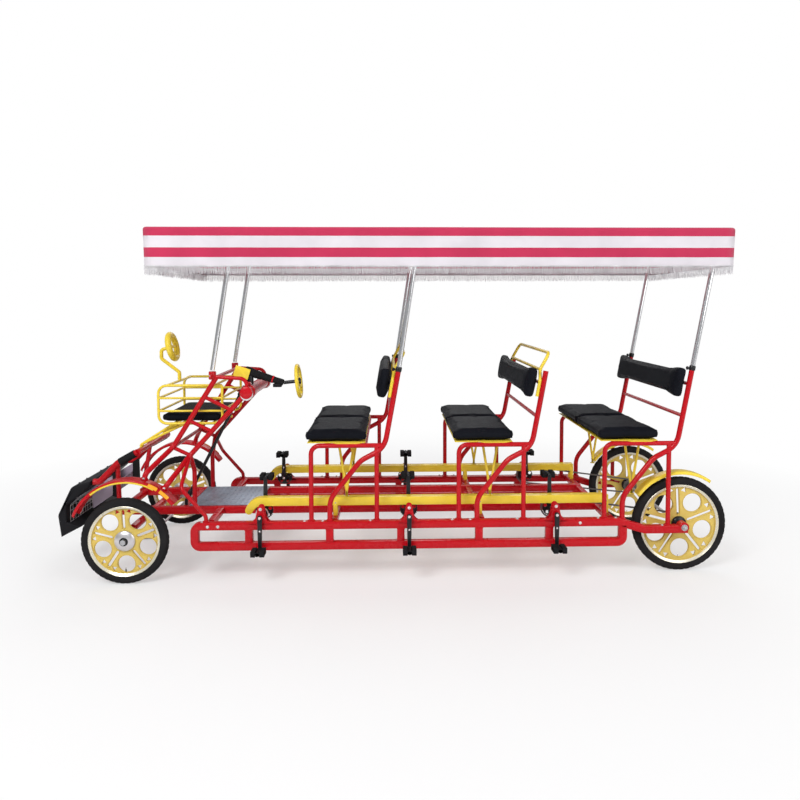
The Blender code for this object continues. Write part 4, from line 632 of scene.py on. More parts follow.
def enamel(name, colour):
    """Glossy enamel with a faint orange peel."""
    return coat(name, colour, (0.2, 0.34), 700, 0.1, cloudy=2.5, darker=0.88, gloss=0.12)[0]


def facets(name, colour):
    """A moulded reflector of small prisms."""
    made, tree, shader, relief = coat(name, colour, (0.1, 0.2), 60, 0.6, gloss=0.6)
    cells = add_node(tree, "TexVoronoi", vector=place_of(tree), scale=240.0)
    tree.links.new(cells.outputs["Distance"], relief.inputs["Height"])
    return made


def finish(name):
    """The material of that name, made once."""
    if name not in made_finishes:
        make, *values = FINISHES[name]
        more = values.pop() if isinstance(values[-1], dict) else {}
        made_finishes[name] = make(name, *values, **more)
    return made_finishes[name]


made_finishes = {}
FINISHES = {
    "red": (enamel, (0.49, 0.004, 0.01)),
    "yellow": (enamel, (0.85, 0.64, 0.055)),
    "cast": (enamel, (0.68, 0.5, 0.12)),
    "black": (plain, (0.012, 0.012, 0.014), (0.25, 0.4), 500, 0.1, {"gloss": 0.2}),
    "plastic": (plain, (0.012, 0.012, 0.014), (0.45, 0.6), 900, 0.5, {"shine": 0.1}),
    "rubber": (plain, (0.014, 0.014, 0.015), (0.65, 0.85), 420, 0.35, {"cloudy": 9, "shine": 0.08}),
    "tyre": (plain, (0.019, 0.018, 0.019), (0.7, 0.9), 260, 0.3,
               {"cloudy": 12, "darker": 0.7, "shine": 0.08}),
    "vinyl": (leather, (0.009, 0.01, 0.014)),
    "chrome": (plain, (0.95, 0.95, 0.96), (0.12, 0.22), 90, 0.02, {"metal": 1.0, "darker": 0.94}),
    "steel": (plain, (0.5, 0.5, 0.52), (0.28, 0.42), 240, 0.1, {"metal": 0.9}),
    "alloy": (plain, (0.68, 0.66, 0.68), (0.25, 0.4), 300, 0.12, {"metal": 0.75}),
    "rim": (plain, (0.8, 0.76, 0.62), (0.22, 0.34), 200, 0.05, {"metal": 0.5}),
    "bolt": (plain, (0.8, 0.76, 0.76), (0.2, 0.3), 300, 0.05, {"metal": 0.7}),
    "tread_plate": (plain, (0.3, 0.34, 0.42), (0.3, 0.45), 300, 0.15, {"metal": 0.6, "cloudy": 8}),
    "panel": (plain, (0.36, 0.3, 0.38), (0.35, 0.5), 300, 0.1),
    "chain": (plain, (0.16, 0.15, 0.15), (0.3, 0.5), 500, 0.2, {"metal": 0.8}),
    "amber": (facets, (0.95, 0.42, 0.02)),
    "lens": (facets, (0.75, 0.77, 0.8)),
    "crimson_cloth": (woven, (0.5, 0.028, 0.085)),
    "white_cloth": (woven, (0.69, 0.65, 0.69)),
    "thread": (plain, (0.74, 0.73, 0.75), (0.8, 0.95), 900, 0.3, {"cloudy": 14, "darker": 0.7, "sheen": 0.2}),
}
SOLID_FINISHES = {"front_axle_beam": "red", "knuckle_left": "steel", "knuckle_right": "steel",
                  "tie_rod": "steel"}


# Shapes: each is a list of points and a list of faces

def loft(rings, closed=False, caps=True, wrap=True):
    """The skin over a row of rings with as many points each."""
    size, count = len(rings[0]), len(rings)
    points = [Vector(p) for ring in rings for p in ring]
    faces = []
    for i in range(count if closed else count - 1):
        a, b = i * size, (i + 1) % count * size
        for j in range(size if wrap else size - 1):
            k = (j + 1) % size
            faces.append((a + j, b + j, b + k, a + k))
    if caps and wrap and not closed:
        faces.append(tuple(range(size)))
        faces.append(tuple(range(len(points) - size, len(points)))[::-1])
    return points, faces


def moved(shape, matrix):
    """The shape moved by a matrix."""
    points, faces = shape
    return [matrix @ p for p in points], faces


def joined(shapes):
    """Several shapes as one."""
    points, faces = [], []
    for some, more in shapes:
        start = len(points)
        points += some
        faces += [tuple(i + start for i in face) for face in more]
    return points, faces


def polar(centre, radius, degrees):
    """The x and z at that radius and angle from a centre."""
    angle = math.radians(degrees)
    return centre[0] + radius * math.cos(angle), centre[1] + radius * math.sin(angle)


def arc(centre, radius, start, end, steps):
    """Points along an arc, angles in degrees."""
    return [polar(centre, radius, start + (end - start) * i / steps) for i in range(steps + 1)]


def both_sides(profile):
    """A line of pairs and its mirror image, as one line."""
    return profile + [(a, -b) for a, b in reversed(profile)]


def ring_loop(centre, radius, steps):
    """A round outline."""
    return arc(centre, radius, 0, 360 - 360 / steps, steps - 1)


def circle(radius, sides, flat=1.0):
    """A round or oval section."""
    return [(x * flat, z) for x, z in ring_loop((0, 0), radius, sides)]


def box_section(wide, high, edge, steps=2):
    """A rectangle's section with rounded corners."""
    corners = ((1, 1, 0), (-1, 1, 90), (-1, -1, 180), (1, -1, 270))
    section = []
    for x, z, start in corners:
        section += arc((x * (wide - edge), z * (high - edge)), edge, start, start + 90, steps)
    return section


def rounded(points, bend, steps=BEND_STEPS):
    """The points of a path with its corners rounded to the bend radius."""
    points = [Vector(p) for p in points]
    path = [points[0]]
    for before, corner, after in zip(points, points[1:], points[2:]):
        back, ahead = before - corner, after - corner
        half = back.angle(ahead) / 2
        reach = min(bend / math.tan(half), back.length * 0.49, ahead.length * 0.49)
        radius = reach * math.tan(half)
        middle = corner + (back.normalized() + ahead.normalized()).normalized() * (radius / math.sin(half))
        first = corner + back.normalized() * reach - middle
        last = corner + ahead.normalized() * reach - middle
        sweep_angle = first.angle(last)
        for step in range(steps + 1):
            share = step / steps
            turned = first * math.sin((1 - share) * sweep_angle) + last * math.sin(share * sweep_angle)
            path.append(middle + turned / math.sin(sweep_angle))
    return path + [points[-1]]


def in_plane(y, pairs):
    """Points in the plane at that y, from pairs of x and z."""
    return [Vector((x, y, z)) for x, z in pairs]


def rounded_loop(pairs, bend):
    """A closed outline of x and z with rounded corners."""
    corners = in_plane(0, pairs)
    middle = (corners[-1] + corners[0]) / 2
    return [(v.x, v.z) for v in rounded([middle, *corners, middle], bend)[:-1]]


def sweep(path, section, side=None, closed=False):
    """Carries a section along a path; side is the direction that its first value keeps to."""
    path = [Vector(p) for p in path]
    count = len(path)
    rings = []
    across = Vector(side) if side else None
    for i, point in enumerate(path):
        before = path[i - 1] if i or closed else point
        after = path[(i + 1) % count] if closed or i < count - 1 else point
        along = (after - before).normalized()
        if side:
            across = Vector(side)
        elif across is None:
            across = along.orthogonal()
        across = (across - along * across.dot(along)).normalized()
        up = along.cross(across)
        rings.append([point + across * a + up * b for a, b in section])
    return loft(rings, closed)


def tube(points, radius, bend=None, sides=TUBE_SIDES):
    """A round tube along a path."""
    return sweep(rounded(points, bend) if bend else points, circle(radius, sides))


def side_tube(y, pairs, radius, bend=None):
    """A round tube in the plane at that y."""
    return tube(in_plane(y, pairs), radius, bend)


def across_tube(x, z, reach, radius):
    """A round tube straight across the vehicle."""
    return tube([(x, -reach, z), (x, reach, z)], radius)


def beam(start, end, half, edge=RAIL_EDGE):
    """A straight square tube."""
    start, end = Vector(start), Vector(end)
    level = ACROSS if abs((end - start).normalized().y) < 0.9 else Vector((1, 0, 0))
    return sweep([start, end], box_section(half, half, edge), level)


def lathe(profile, centre, axis=ACROSS, steps=RING_STEPS, closed=False):
    """Turns a profile of radius and height about an axis through the centre."""
    centre, axis = Vector(centre), Vector(axis).normalized()
    across = axis.orthogonal().normalized()
    up = axis.cross(across)
    rings = []
    for radius, height in profile:
        base = centre + axis * height
        rings.append([base + across * radius * x + up * radius * z for x, z in circle(1.0, steps)])
    return loft(rings, closed)


def hoop(centre, axis, radius, rod, steps=RING_STEPS, sides=TUBE_SIDES):
    """A ring of round rod about an axis."""
    axis = Vector(axis).normalized()
    across = axis.orthogonal().normalized()
    up = axis.cross(across)
    path = [Vector(centre) + across * radius * x + up * radius * z for x, z in circle(1.0, steps)]
    return sweep(path, circle(rod, sides), closed=True)


def inset(loop, by):
    """A closed outline moved inwards."""
    area = sum(a[0] * b[1] - b[0] * a[1] for a, b in zip(loop, loop[1:] + loop[:1]))
    turn = by if area > 0 else -by
    result = []
    for before, point, after in zip(loop[-1:] + loop[:-1], loop, loop[1:] + loop[:1]):
        a = Vector((point[0] - before[0], point[1] - before[1])).normalized()
        b = Vector((after[0] - point[0], after[1] - point[1])).normalized()
        normal = Vector((-a.y - b.y, a.x + b.x)).normalized()
        reach = turn / max(0.4, normal.dot(Vector((-a.y, a.x))))
        result.append((point[0] + normal.x * reach, point[1] + normal.y * reach))
    return result


def plate(loop, y, thickness, edge, steps=2):
    """A flat plate in the XZ plane, centred on that y, its rims rounded."""
    rings = []
    for sign in (-1, 1):
        turns = [90 * i / steps for i in range(steps + 1)]
        for turn in turns if sign < 0 else turns[::-1]:
            shrunk = inset(loop, edge * (1 - math.sin(math.radians(turn))))
            level = y + sign * (thickness / 2 - edge * (1 - math.cos(math.radians(turn))))
            rings.append(in_plane(level, shrunk))
    return loft(rings)


def slab(low, high, edge):
    """A block with rounded edges between two opposite corners."""
    low, high = Vector(low), Vector(high)
    low, high = Vector(map(min, low, high)), Vector(map(max, low, high))
    loop = rounded_loop([(low.x, low.z), (high.x, low.z), (high.x, high.z), (low.x, high.z)], edge)
    return plate(loop, (low.y + high.y) / 2, high.y - low.y, edge)


def cut_plate(loops, y, thickness, edge):
    """A flat plate in the XZ plane with holes, its rims rounded; the first loop is its outline."""
    curve = bpy.data.curves.new("cut", "CURVE")
    curve.dimensions = "2D"
    curve.fill_mode = "BOTH"
    curve.extrude = thickness / 2 - edge
    curve.bevel_depth = edge
    curve.bevel_resolution = 1
    curve.offset = -edge
    for loop in loops:
        spline = curve.splines.new("POLY")
        spline.use_cyclic_u = True
        spline.points.add(len(loop) - 1)
        for point, (x, z) in zip(spline.points, loop):
            point.co = (x, z, 0, 1)
    obj = bpy.data.objects.new("cut", curve)
    bpy.context.scene.collection.objects.link(obj)
    bpy.context.view_layer.update()
    mesh = bpy.data.meshes.new_from_object(obj.evaluated_get(bpy.context.evaluated_depsgraph_get()))
    turn = Matrix.Translation((0, y, 0)) @ Matrix.Rotation(math.pi / 2, 4, "X")
    shape = [turn @ v.co for v in mesh.vertices], [tuple(p.vertices) for p in mesh.polygons]
    bpy.data.objects.remove(obj)
    bpy.data.meshes.remove(mesh)
    return shape


def bolt(place, axis, size):
    """A washer, a hexagon head and the rounded end of its thread, standing on the place."""
    axis = Vector(axis)
    washer = lathe([(size * 1.35, 0), (size * 1.35, size * 0.22)], place, axis, 20)
    head = lathe([(size, size * 0.1), (size, size * 0.75), (size * 0.86, size * 0.9)], place, axis, 6)
    end = lathe([(size * 0.5, size * 0.5), (size * 0.5, size), (size * 0.3, size * 1.12)], place, axis, 16)
    return joined([washer, head, end])


def pair(shape):
    """A shape and its mirror image on the vehicle's other side."""
    points, faces = shape
    other = [Vector((p.x, -p.y, p.z)) for p in points], [face[::-1] for face in faces]
    return joined([shape, other])


def piece(name, body, shapes, nodes=(), crease=38):
    """Joins shapes, each given with its finish, into one named piece that rides on the body."""
    points, faces, kinds = [], [], []
    finishes = list(dict.fromkeys(kind for kind, shape in shapes))
    for kind, (some, more) in shapes:
        start = len(points)
        points += some
        faces += [tuple(i + start for i in face) for face in more]
        kinds += [finishes.index(kind)] * len(more)
    mesh = bpy.data.meshes.new(name)
    mesh.from_pydata(points, [], faces)
    mesh.polygons.foreach_set("material_index", kinds)
    bm = bmesh.new()
    bm.from_mesh(mesh)
    bmesh.ops.recalc_face_normals(bm, faces=bm.faces)
    bm.to_mesh(mesh)
    bm.free()
    for kind in finishes:
        mesh.materials.append(finish(kind))
    mesh.shade_smooth()
    mesh.set_sharp_from_angle(angle=math.radians(crease))
    obj = bpy.data.objects.new(name, mesh)
    bpy.context.scene.collection.objects.link(obj)
    return dress(obj, body, nodes)


def dress(obj, body, nodes=()):
    """Ties a finished piece to its body and the solids that it stands for."""
    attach(obj, body)
    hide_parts(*nodes)
    return obj


# Parts

def stand_in(node, shapes, body="chassis", crease=CREASE):
    """The finished piece that takes the place of one solid."""
    return piece(node + "_look", body, shapes, [node], crease)


def wheel(name, body, radius, centre, hub_radius):
    """A treaded tyre, the bright rim and the yellow casting with double spokes, round holes and its hub."""
    half, bead = TYRE_WIDTH / 2, radius - TYRE_DEPTH
    shoulder = [(bead + up, half * share) for up, share in SIDEWALL]
    shoulder += [(radius - down, half * share) for down, share in TREAD]
    rings = []
    for step in range(WHEEL_STEPS * 2):
        x, z = polar((0, 0), 1.0, 180 * step / WHEEL_STEPS)
        groove = 0 if step % TREAD_BLOCK else TREAD_GROOVE
        ring = []
        for r, y in both_sides(shoulder):
            r -= groove if r > radius - TREAD_REACH and abs(y) > half * TREAD_MIDDLE_SHARE else 0
            ring.append((centre[0] + r * x, centre[1] + y, centre[2] + r * z))
        rings.append(ring)
    stand_in("tyre_" + name, [("tyre", loft(rings, closed=True))], body, TYRE_CREASE)
    middle, inner = (centre[0], centre[2]), bead - RIM_DEPTH
    flange = [lathe([(bead + out, s * half * share) for out, share in RIM_LIP], centre, ACROSS, WHEEL_STEPS,
                    True)
              for s in (-1, 1)]
    barrel = both_sides([(bead - down, half * share) for down, share in RIM_BARREL])
    ring = hub_radius + (inner - hub_radius) * HOLE_RING_SHARE
    loops = [ring_loop(middle, inner + RIM_DEPTH / 2, WHEEL_STEPS)]
    casting = []
    for spoke in range(SPOKES):
        degrees = SPOKE_TURN + 360 * spoke / SPOKES
        hole = ring_loop(polar(middle, ring, degrees + 180 / SPOKES), radius * HOLE_SHARE, HOLE_STEPS)
        slot = stadium(middle, degrees, hub_radius * SLOT_START_SHARE, inner * SLOT_END_SHARE, SLOT_WIDTH / 2)
        loops += [hole, slot]
        for loop in (hole, slot):
            rib = circle(RIB_RADIUS, ROD_SIDES, RIB_FLAT_SHARE)
            casting.append(sweep(in_plane(centre[1], inset(loop, -RIB_GAP)), rib, ACROSS, closed=True))
        for s in (-1, 1):
            at = polar(middle, inner * FORK_RING_SHARE, degrees + s * FORK_TURN)
            loops.append([polar(at, inner * FORK_SHARE, degrees + s * FORK_LEAN + turn)
                          for turn in (0, 120, 240)])
    casting.insert(0, cut_plate(loops, centre[1], WHEEL_PLATE, WHEEL_EDGE))
    cap = half * HUB_CAP_SHARE
    disc = [(hub_radius, HUB_STEP)] + [(hub_radius * a, cap * b) for a, b in HUB_DISC] + [(HUB_BORE, cap)]
    seat = [(hub_radius * a, cap + b) for a, b in HUB_SEAT]
    discs, seats = [joined([lathe([(r, s * y) for r, y in line], centre) for s in (-1, 1)])
                    for line in (disc, seat)]
    front = hub_radius == FRONT_HUB_RADIUS
    valve = Vector((middle[0], centre[1], middle[1] - inner))
    shapes = [("rim", joined(flange)), ("cast", lathe(barrel, centre, ACROSS, WHEEL_STEPS, True)),
              ("cast", joined(casting)), ("alloy" if front else "black", discs),
              ("black" if front else "steel", seats),
              ("rubber", tube([valve, valve + UP * VALVE_LENGTH], VALVE_RADIUS)),
              ("bolt", tube([valve + UP * VALVE_LENGTH, valve + UP * VALVE_TIP], VALVE_TIP_RADIUS))]
    stand_in("wheel_" + name, shapes, body)


def stadium(middle, degrees, start, end, half):
    """The outline of a slot along a spoke, with round ends."""
    loop = arc((start + half, 0), half, 90, 270, 6) + arc((end - half, 0), half, -90, 90, 6)
    turn = Matrix.Rotation(math.radians(degrees), 2)
    return [tuple(Vector(middle) + turn @ Vector(p)) for p in loop]


def wheels():
    """The two small front wheels and the two larger rear ones."""
    for side, sign in SIDES.items():
        front = (AXLE_FRONT_X, sign * FRONT_HALF_TRACK, FRONT_WHEEL_RADIUS)
        rear = (AXLE_REAR_X, sign * REAR_HALF_TRACK, REAR_WHEEL_RADIUS)
        wheel("front_" + side, "front_%s_wheel" % side, FRONT_WHEEL_RADIUS, front, FRONT_HUB_RADIUS)
        wheel("rear_" + side, "rear_%s_wheel" % side, REAR_WHEEL_RADIUS, rear, REAR_HUB_RADIUS)


def row_places(first):
    """The x of something that each seat row has."""
    return [first + row * ROW_PITCH for row in range(ROW_COUNT)]


def rail_top(x):
    """The height of a side frame's top face at that x."""
    share = (x - ARM_STEP_FRONT_X) / (ARM_STEP_REAR_X - ARM_STEP_FRONT_X)
    return UPPER_RAIL_Z + RAIL_HALF + (ARM_Z - UPPER_RAIL_Z) * min(max(share, 0), 1)


def weld(x, y, z, half_x, half_y):
    """A weld bead around an upright where it meets a rail."""
    corners = [(x + half_x * a, y + half_y * b, z) for a, b in ((-1, -1), (1, -1), (1, 1), (-1, 1))]
    return sweep(corners, circle(WELD_RADIUS, 6), closed=True)


def gusset(x, y, sign):
    """A crank's two flared plates on the upper rail, its shell with a bearing flange, and the bolt above."""
    foot = UPPER_RAIL_Z + RAIL_HALF - WELD_SINK
    head = (x, GUSSET_TOP_Z - GUSSET_HEAD)
    reach, rise = GUSSET_FOOT * FLARE_FOOT_SHARE, foot + FLARE_RISE
    start = x + GUSSET_FOOT - GUSSET_HEAD * FLARE_HEAD_SHARE
    flare = [(start - reach * across, rise - FLARE_RISE * up) for across, up in arc((0, 0), 1, 15, 90, 5)]
    right = [(head[0] + GUSSET_HEAD, head[1])] + flare + [(x + GUSSET_FOOT, foot - FLARE_SINK)]
    left = [(2 * x - px, pz) for px, pz in reversed(right)]
    loop = arc(head, GUSSET_HEAD, 0, 180, 8)[::-1] + right[1:] + left[:-1]
    plates = [plate(loop, y + s * (RAIL_HALF - GUSSET_PLATE / 2), GUSSET_PLATE, PLATE_EDGE) for s in (-1, 1)]
    reach = GUSSET_HEAD * BRIDGE_SHARE
    plates.append(slab((x - reach, y - RAIL_HALF, head[1] - BRIDGE_DEPTH[0]),
                       (x + reach, y + RAIL_HALF, head[1] - BRIDGE_DEPTH[1]), EDGE))
    half = SHELL_LENGTH / 2
    plates.append(lathe([(SHELL_RADIUS, -half), (SHELL_RADIUS, half), (SHELL_BORE, half),
                         (SHELL_BORE, -half)],
                        (x, y, CRANK_Z), closed=True))
    seat = (x, y - sign * (half + RING_THICKNESS), CRANK_Z)
    shapes = [("red", joined(plates)), ("black", lathe(SHELL_DISC, seat))]
    if x == CRANK_FRONT_X:
        shapes.append(("alloy", lathe(SHELL_RING, seat, closed=True)))
    for s in (-1, 1):
        shapes.append(("red", lathe(BOLT_SEAT, (x, y + s * RAIL_HALF, head[1]), ACROSS * s, 24)))
        shapes.append(("bolt", bolt((x, y + s * (RAIL_HALF + RING_THICKNESS), head[1]), ACROSS * s,
                                    GUSSET_BOLT)))
    return shapes


def side_frames():
    """Each side's ladder of square tube with its rear arm, welds, axle bearing, crank gussets and bolts."""
    path = [(RAIL_REAR_X, UPPER_RAIL_Z - RAIL_HALF * TUCK_SHARE), (RAIL_REAR_X, LOWER_RAIL_Z),
            (RAIL_FRONT_X, LOWER_RAIL_Z), (RAIL_FRONT_X, UPPER_RAIL_Z), (ARM_STEP_FRONT_X, UPPER_RAIL_Z),
            (ARM_STEP_REAR_X, ARM_Z), (AXLE_REAR_X + RAIL_HALF, ARM_Z)]
    section = box_section(RAIL_HALF, RAIL_HALF, RAIL_EDGE)
    deep, half = RAIL_HALF * UPRIGHT_SHARE, BEARING_LENGTH / 2
    for side, sign in SIDES.items():
        y = sign * RAIL_Y
        red = [sweep(rounded(in_plane(y, path), RAIL_BEND), section, ACROSS)]
        for x in UPRIGHT_X:
            red.append(slab((x - UPRIGHT_HALF, y - deep, LOWER_RAIL_Z),
                            (x + UPRIGHT_HALF, y + deep, UPPER_RAIL_Z), SOFT_EDGE))
            for z in (LOWER_RAIL_Z + RAIL_HALF, UPPER_RAIL_Z - RAIL_HALF):
                red.append(weld(x, y, z, UPRIGHT_HALF, deep))
        bearing = both_sides([(BEARING_RADIUS - SOFT_EDGE, -half), (BEARING_RADIUS, SOFT_EDGE - half)])
        bearing += [(AXLE_BORE, half), (AXLE_BORE, -half)]
        red.append(lathe(bearing, (AXLE_REAR_X, y, REAR_WHEEL_RADIUS), closed=True))
        shapes = [("red", joined(red))]
        for x in row_places(CRANK_FRONT_X):
            shapes += gusset(x, y, sign)
        bolts = [bolt((x + run, y + sign * BOLT_SIDE, rail_top(x + run)), UP, RAIL_BOLT)
                 for x in row_places(SEAT_FRONT_X) for run in BOLT_RUNS]
        bolts += [bolt((x, y + sign * RAIL_HALF, UPPER_RAIL_Z), ACROSS * sign, RAIL_BOLT)
                  for x in SIDE_BOLT_X]
        stand_in("side_frame_" + side, shapes + [("bolt", joined(bolts))])


def gear(middle, radius, teeth, depth):
    """The outline of a toothed ring."""
    return [polar(middle, radius - depth * down, 360 * (tooth + step) / teeth)
            for tooth in range(teeth) for step, down in TOOTH]


def pedal(x, z, y0, y1):
    """A pedal: its barrel, two ribbed rubber treads, end plates and amber reflectors."""
    half, tall = PEDAL_LENGTH / 2, PEDAL_HEIGHT / 2
    low, high = min(y0, y1), max(y0, y1)
    rubber, amber = [], []
    for s in (-1, 1):
        far, near = x + s * half, x + s * half * TREAD_START_SHARE
        flat = tall * PEDAL_FLAT_SHARE
        rubber.append(slab((near, low + PEDAL_END, z - flat), (far, high - PEDAL_END, z + flat), SOFT_EDGE))
        for rib in range(PEDAL_RIBS):
            place = low + (high - low) * (rib + PEDAL_RIB_START) / PEDAL_RIB_COUNT
            rubber.append(slab((near - s * EDGE, place - RIB_HALF, z - tall),
                               (far, place + RIB_HALF, z + tall), PLATE_EDGE))
        amber.append(slab((x + s * (half - REFLECTOR_DEPTH), low + REFLECTOR_INSET,
                           z - tall * REFLECTOR_SHARE),
                          (far, high - REFLECTOR_INSET, z + tall * REFLECTOR_SHARE), EDGE))
    reach, tall = half * PEDAL_FLAT_SHARE, tall * PEDAL_END_SHARE
    ends = [slab((x - reach, a, z - tall), (x + reach, a + PEDAL_END, z + tall), PEDAL_EDGE)
            for a in (low, high - PEDAL_END)]
    barrel = tube([(x, low, z), (x, high, z)], BARREL_RADIUS)
    return [("rubber", joined(rubber)), ("plastic", joined([*ends, barrel])), ("amber", joined(amber))]


def cranks():
    """Each crank: spindle, toothed chainring, two tapered arms and their pedals."""
    wide, thin = ARM_WIDTH / 2, ARM_WIDTH * ARM_TIP_SHARE
    for side, sign in SIDES.items():
        for row, x in enumerate(row_places(CRANK_FRONT_X), 1):
            outer, middle = sign * (CRANK_OUTER_Y + ARM_THICKNESS), (x, CRANK_Z)
            black = [tube([(x, sign * CRANK_INNER_Y, CRANK_Z), (x, outer, CRANK_Z)], SPINDLE_RADIUS)]
            loops = [gear(middle, CHAINRING_RADIUS, CHAINRING_TEETH, TOOTH_DEPTH)]
            for hole in range(SPOKES):
                at = polar(middle, CHAINRING_HOLE_RING, 90 + 360 * hole / SPOKES)
                loops.append(arc(at, CHAINRING_HOLE, 0, 345, 15))
            black.append(cut_plate(loops, sign * GUARD_Y, CHAINRING_THICKNESS, CHAINRING_EDGE))
            black.append(lathe(CHAINRING_HUB, (x, sign * GUARD_Y, CRANK_Z), steps=24))
            shapes = []
            for start_y, hang, away in ((CRANK_OUTER_Y, -1, 1), (CRANK_INNER_Y, 1, -1)):
                tip, turn = CRANK_Z + hang * ARM_LENGTH, hang * 90
                loop = arc(middle, wide, turn + 90, turn + 270, 8)
                loop += arc((x, tip), thin, turn - 90, turn + 90, 8)
                black.append(plate(loop, sign * (start_y + ARM_THICKNESS / 2), ARM_THICKNESS, SOFT_EDGE))
                face = start_y + (ARM_THICKNESS if away > 0 else 0)
                start = face + away * PEDAL_PIN_GAP
                end = start + away * PEDAL_WIDTH
                shapes.append(("steel", tube([(x, sign * face, tip), (x, sign * end, tip)],
                                             PEDAL_PIN_RADIUS)))
                shapes += pedal(x, tip, sign * start, sign * end)
                for size, share in ARM_BOLTS:
                    place = (x, sign * face, CRANK_Z + hang * ARM_LENGTH * share)
                    shapes.append(("bolt", bolt(place, ACROSS * sign * away, size)))
            name = "crank_%s_%d" % (side, row)
            stand_in(name, [("black", joined(black)), *shapes], "%s_crank_%d" % (side, row))


def chain_guards():
    """Each side's long channel over the chain: two walls with rolled hems, and the strip over their tops."""
    top = GUARD_BOTTOM_Z + GUARD_HEIGHT
    bend, turned, half = (GUARD_FRONT_X + GUARD_BEND, top - GUARD_BEND), 90 + GUARD_TURN, GUARD_WIDTH / 2
    tip = polar(bend, GUARD_BEND - GUARD_HEIGHT / 2, turned)
    outer = [(GUARD_REAR_X, top)] + arc(bend, GUARD_BEND, 90, turned, 10)
    nose_turn = arc(tip, GUARD_HEIGHT / 2, turned, turned + 180, 12)[1:]
    inner = arc(bend, GUARD_BEND - GUARD_HEIGHT, turned, 90, 10)[1:] + [(GUARD_REAR_X, GUARD_BOTTOM_Z)]
    cover = outer + nose_turn[:8]
    for side, sign in SIDES.items():
        y = sign * GUARD_Y
        yellow = [plate(outer + nose_turn + inner, y + s * (half - GUARD_WALL / 2), GUARD_WALL, THIN_EDGE)
                  for s in (-1, 1)]
        strip = box_section(half - EDGE, EDGE, THIN_EDGE)
        yellow.append(sweep(in_plane(y, inset_path(cover, GUARD_STRIP)), strip, ACROSS))
        for s in (-1, 1):
            hem_y = y + s * (half - HEM_RADIUS[0])
            yellow.append(tube(in_plane(hem_y, inset_path(cover, HEM_RADIUS[0])), HEM_RADIUS[0],
                               sides=ROD_SIDES))
            yellow.append(tube(in_plane(hem_y, inner), HEM_RADIUS[1], sides=ROD_SIDES))
        bolts = []
        for x in CROSS_X[1:]:
            for s in (-1, 1):
                wall = y + s * (half - GUARD_WALL)
                yellow.append(slab((x - STAY_HALF, wall - SOFT_EDGE, INNER_RAIL_Z + CROSS_HALF),
                                   (x + STAY_HALF, wall, GUARD_BOTTOM_Z + STAY_RISE), EDGE))
            bolts.append(bolt((x, y + sign * half, GUARD_BOTTOM_Z + STAY_BOLT_RISE), ACROSS * sign,
                              STAY_BOLT))
        stand_in("chain_guard_" + side, [("yellow", joined(yellow)), ("bolt", joined(bolts))])


def inset_path(path, by):
    """An open path of x and z moved to its left, seen along it."""
    result = []
    for i, point in enumerate(path):
        before, after = path[max(i - 1, 0)], path[min(i + 1, len(path) - 1)]
        along = Vector((after[0] - before[0], after[1] - before[1])).normalized()
        result.append((point[0] - along.y * by, point[1] + along.x * by))
    return result


def belt(small, small_radius, large, large_radius):
    """The line of a chain around two gears, walked at even steps."""
    (x1, z1), (x2, z2) = small, large
    along = math.degrees(math.atan2(z2 - z1, x2 - x1))
    lean = math.degrees(math.acos((small_radius - large_radius) / math.hypot(x2 - x1, z2 - z1)))
    line = arc(small, small_radius, along + lean, along + 360 - lean, 40)
    line += arc(large, large_radius, along - lean, along + lean, 30)
    line.append(line[0])
    lengths = [math.dist(a, b) for a, b in zip(line, line[1:])]
    count = 2 * round(sum(lengths) / LINK_PITCH / 2)
    pitch = sum(lengths) / count
    points, walked, segment = [], 0.0, 0
    for link in range(count):
        while walked + lengths[segment] < link * pitch:
            walked += lengths[segment]
            segment += 1
        share = (link * pitch - walked) / lengths[segment]
        a, b = line[segment], line[segment + 1]
        points.append((a[0] + (b[0] - a[0]) * share, a[1] + (b[1] - a[1]) * share))
    return points


def chains():
    """Each side's roller chain from the last crank to the rear sprocket, link by link."""
    last, rear = (row_places(CRANK_FRONT_X)[-1], CRANK_Z), (AXLE_REAR_X, REAR_WHEEL_RADIUS)
    points = belt(last, CHAIN_RADIUS, rear, SPROCKET_RADIUS)
    for side, sign in SIDES.items():
        y = sign * GUARD_Y
        links = []
        for i, (a, b) in enumerate(zip(points, points[1:] + points[:1])):
            degrees = math.degrees(math.atan2(b[1] - a[1], b[0] - a[0]))
            loop = arc(b, LINK_HALF, degrees - 90, degrees + 90, 3)
            loop += arc(a, LINK_HALF, degrees + 90, degrees + 270, 3)
            for s in (-1, 1):
                links.append(plate(loop, y + s * LINK_OFFSETS[i % 2], LINK_THICKNESS, LINK_EDGE, 1))
            links.append(tube([(a[0], y + s * PIN_HALF, a[1]) for s in (-1, 1)], ROLLER_RADIUS,
                              sides=ROD_SIDES))
        stand_in("chain_" + side, [("chain", joined(links))])


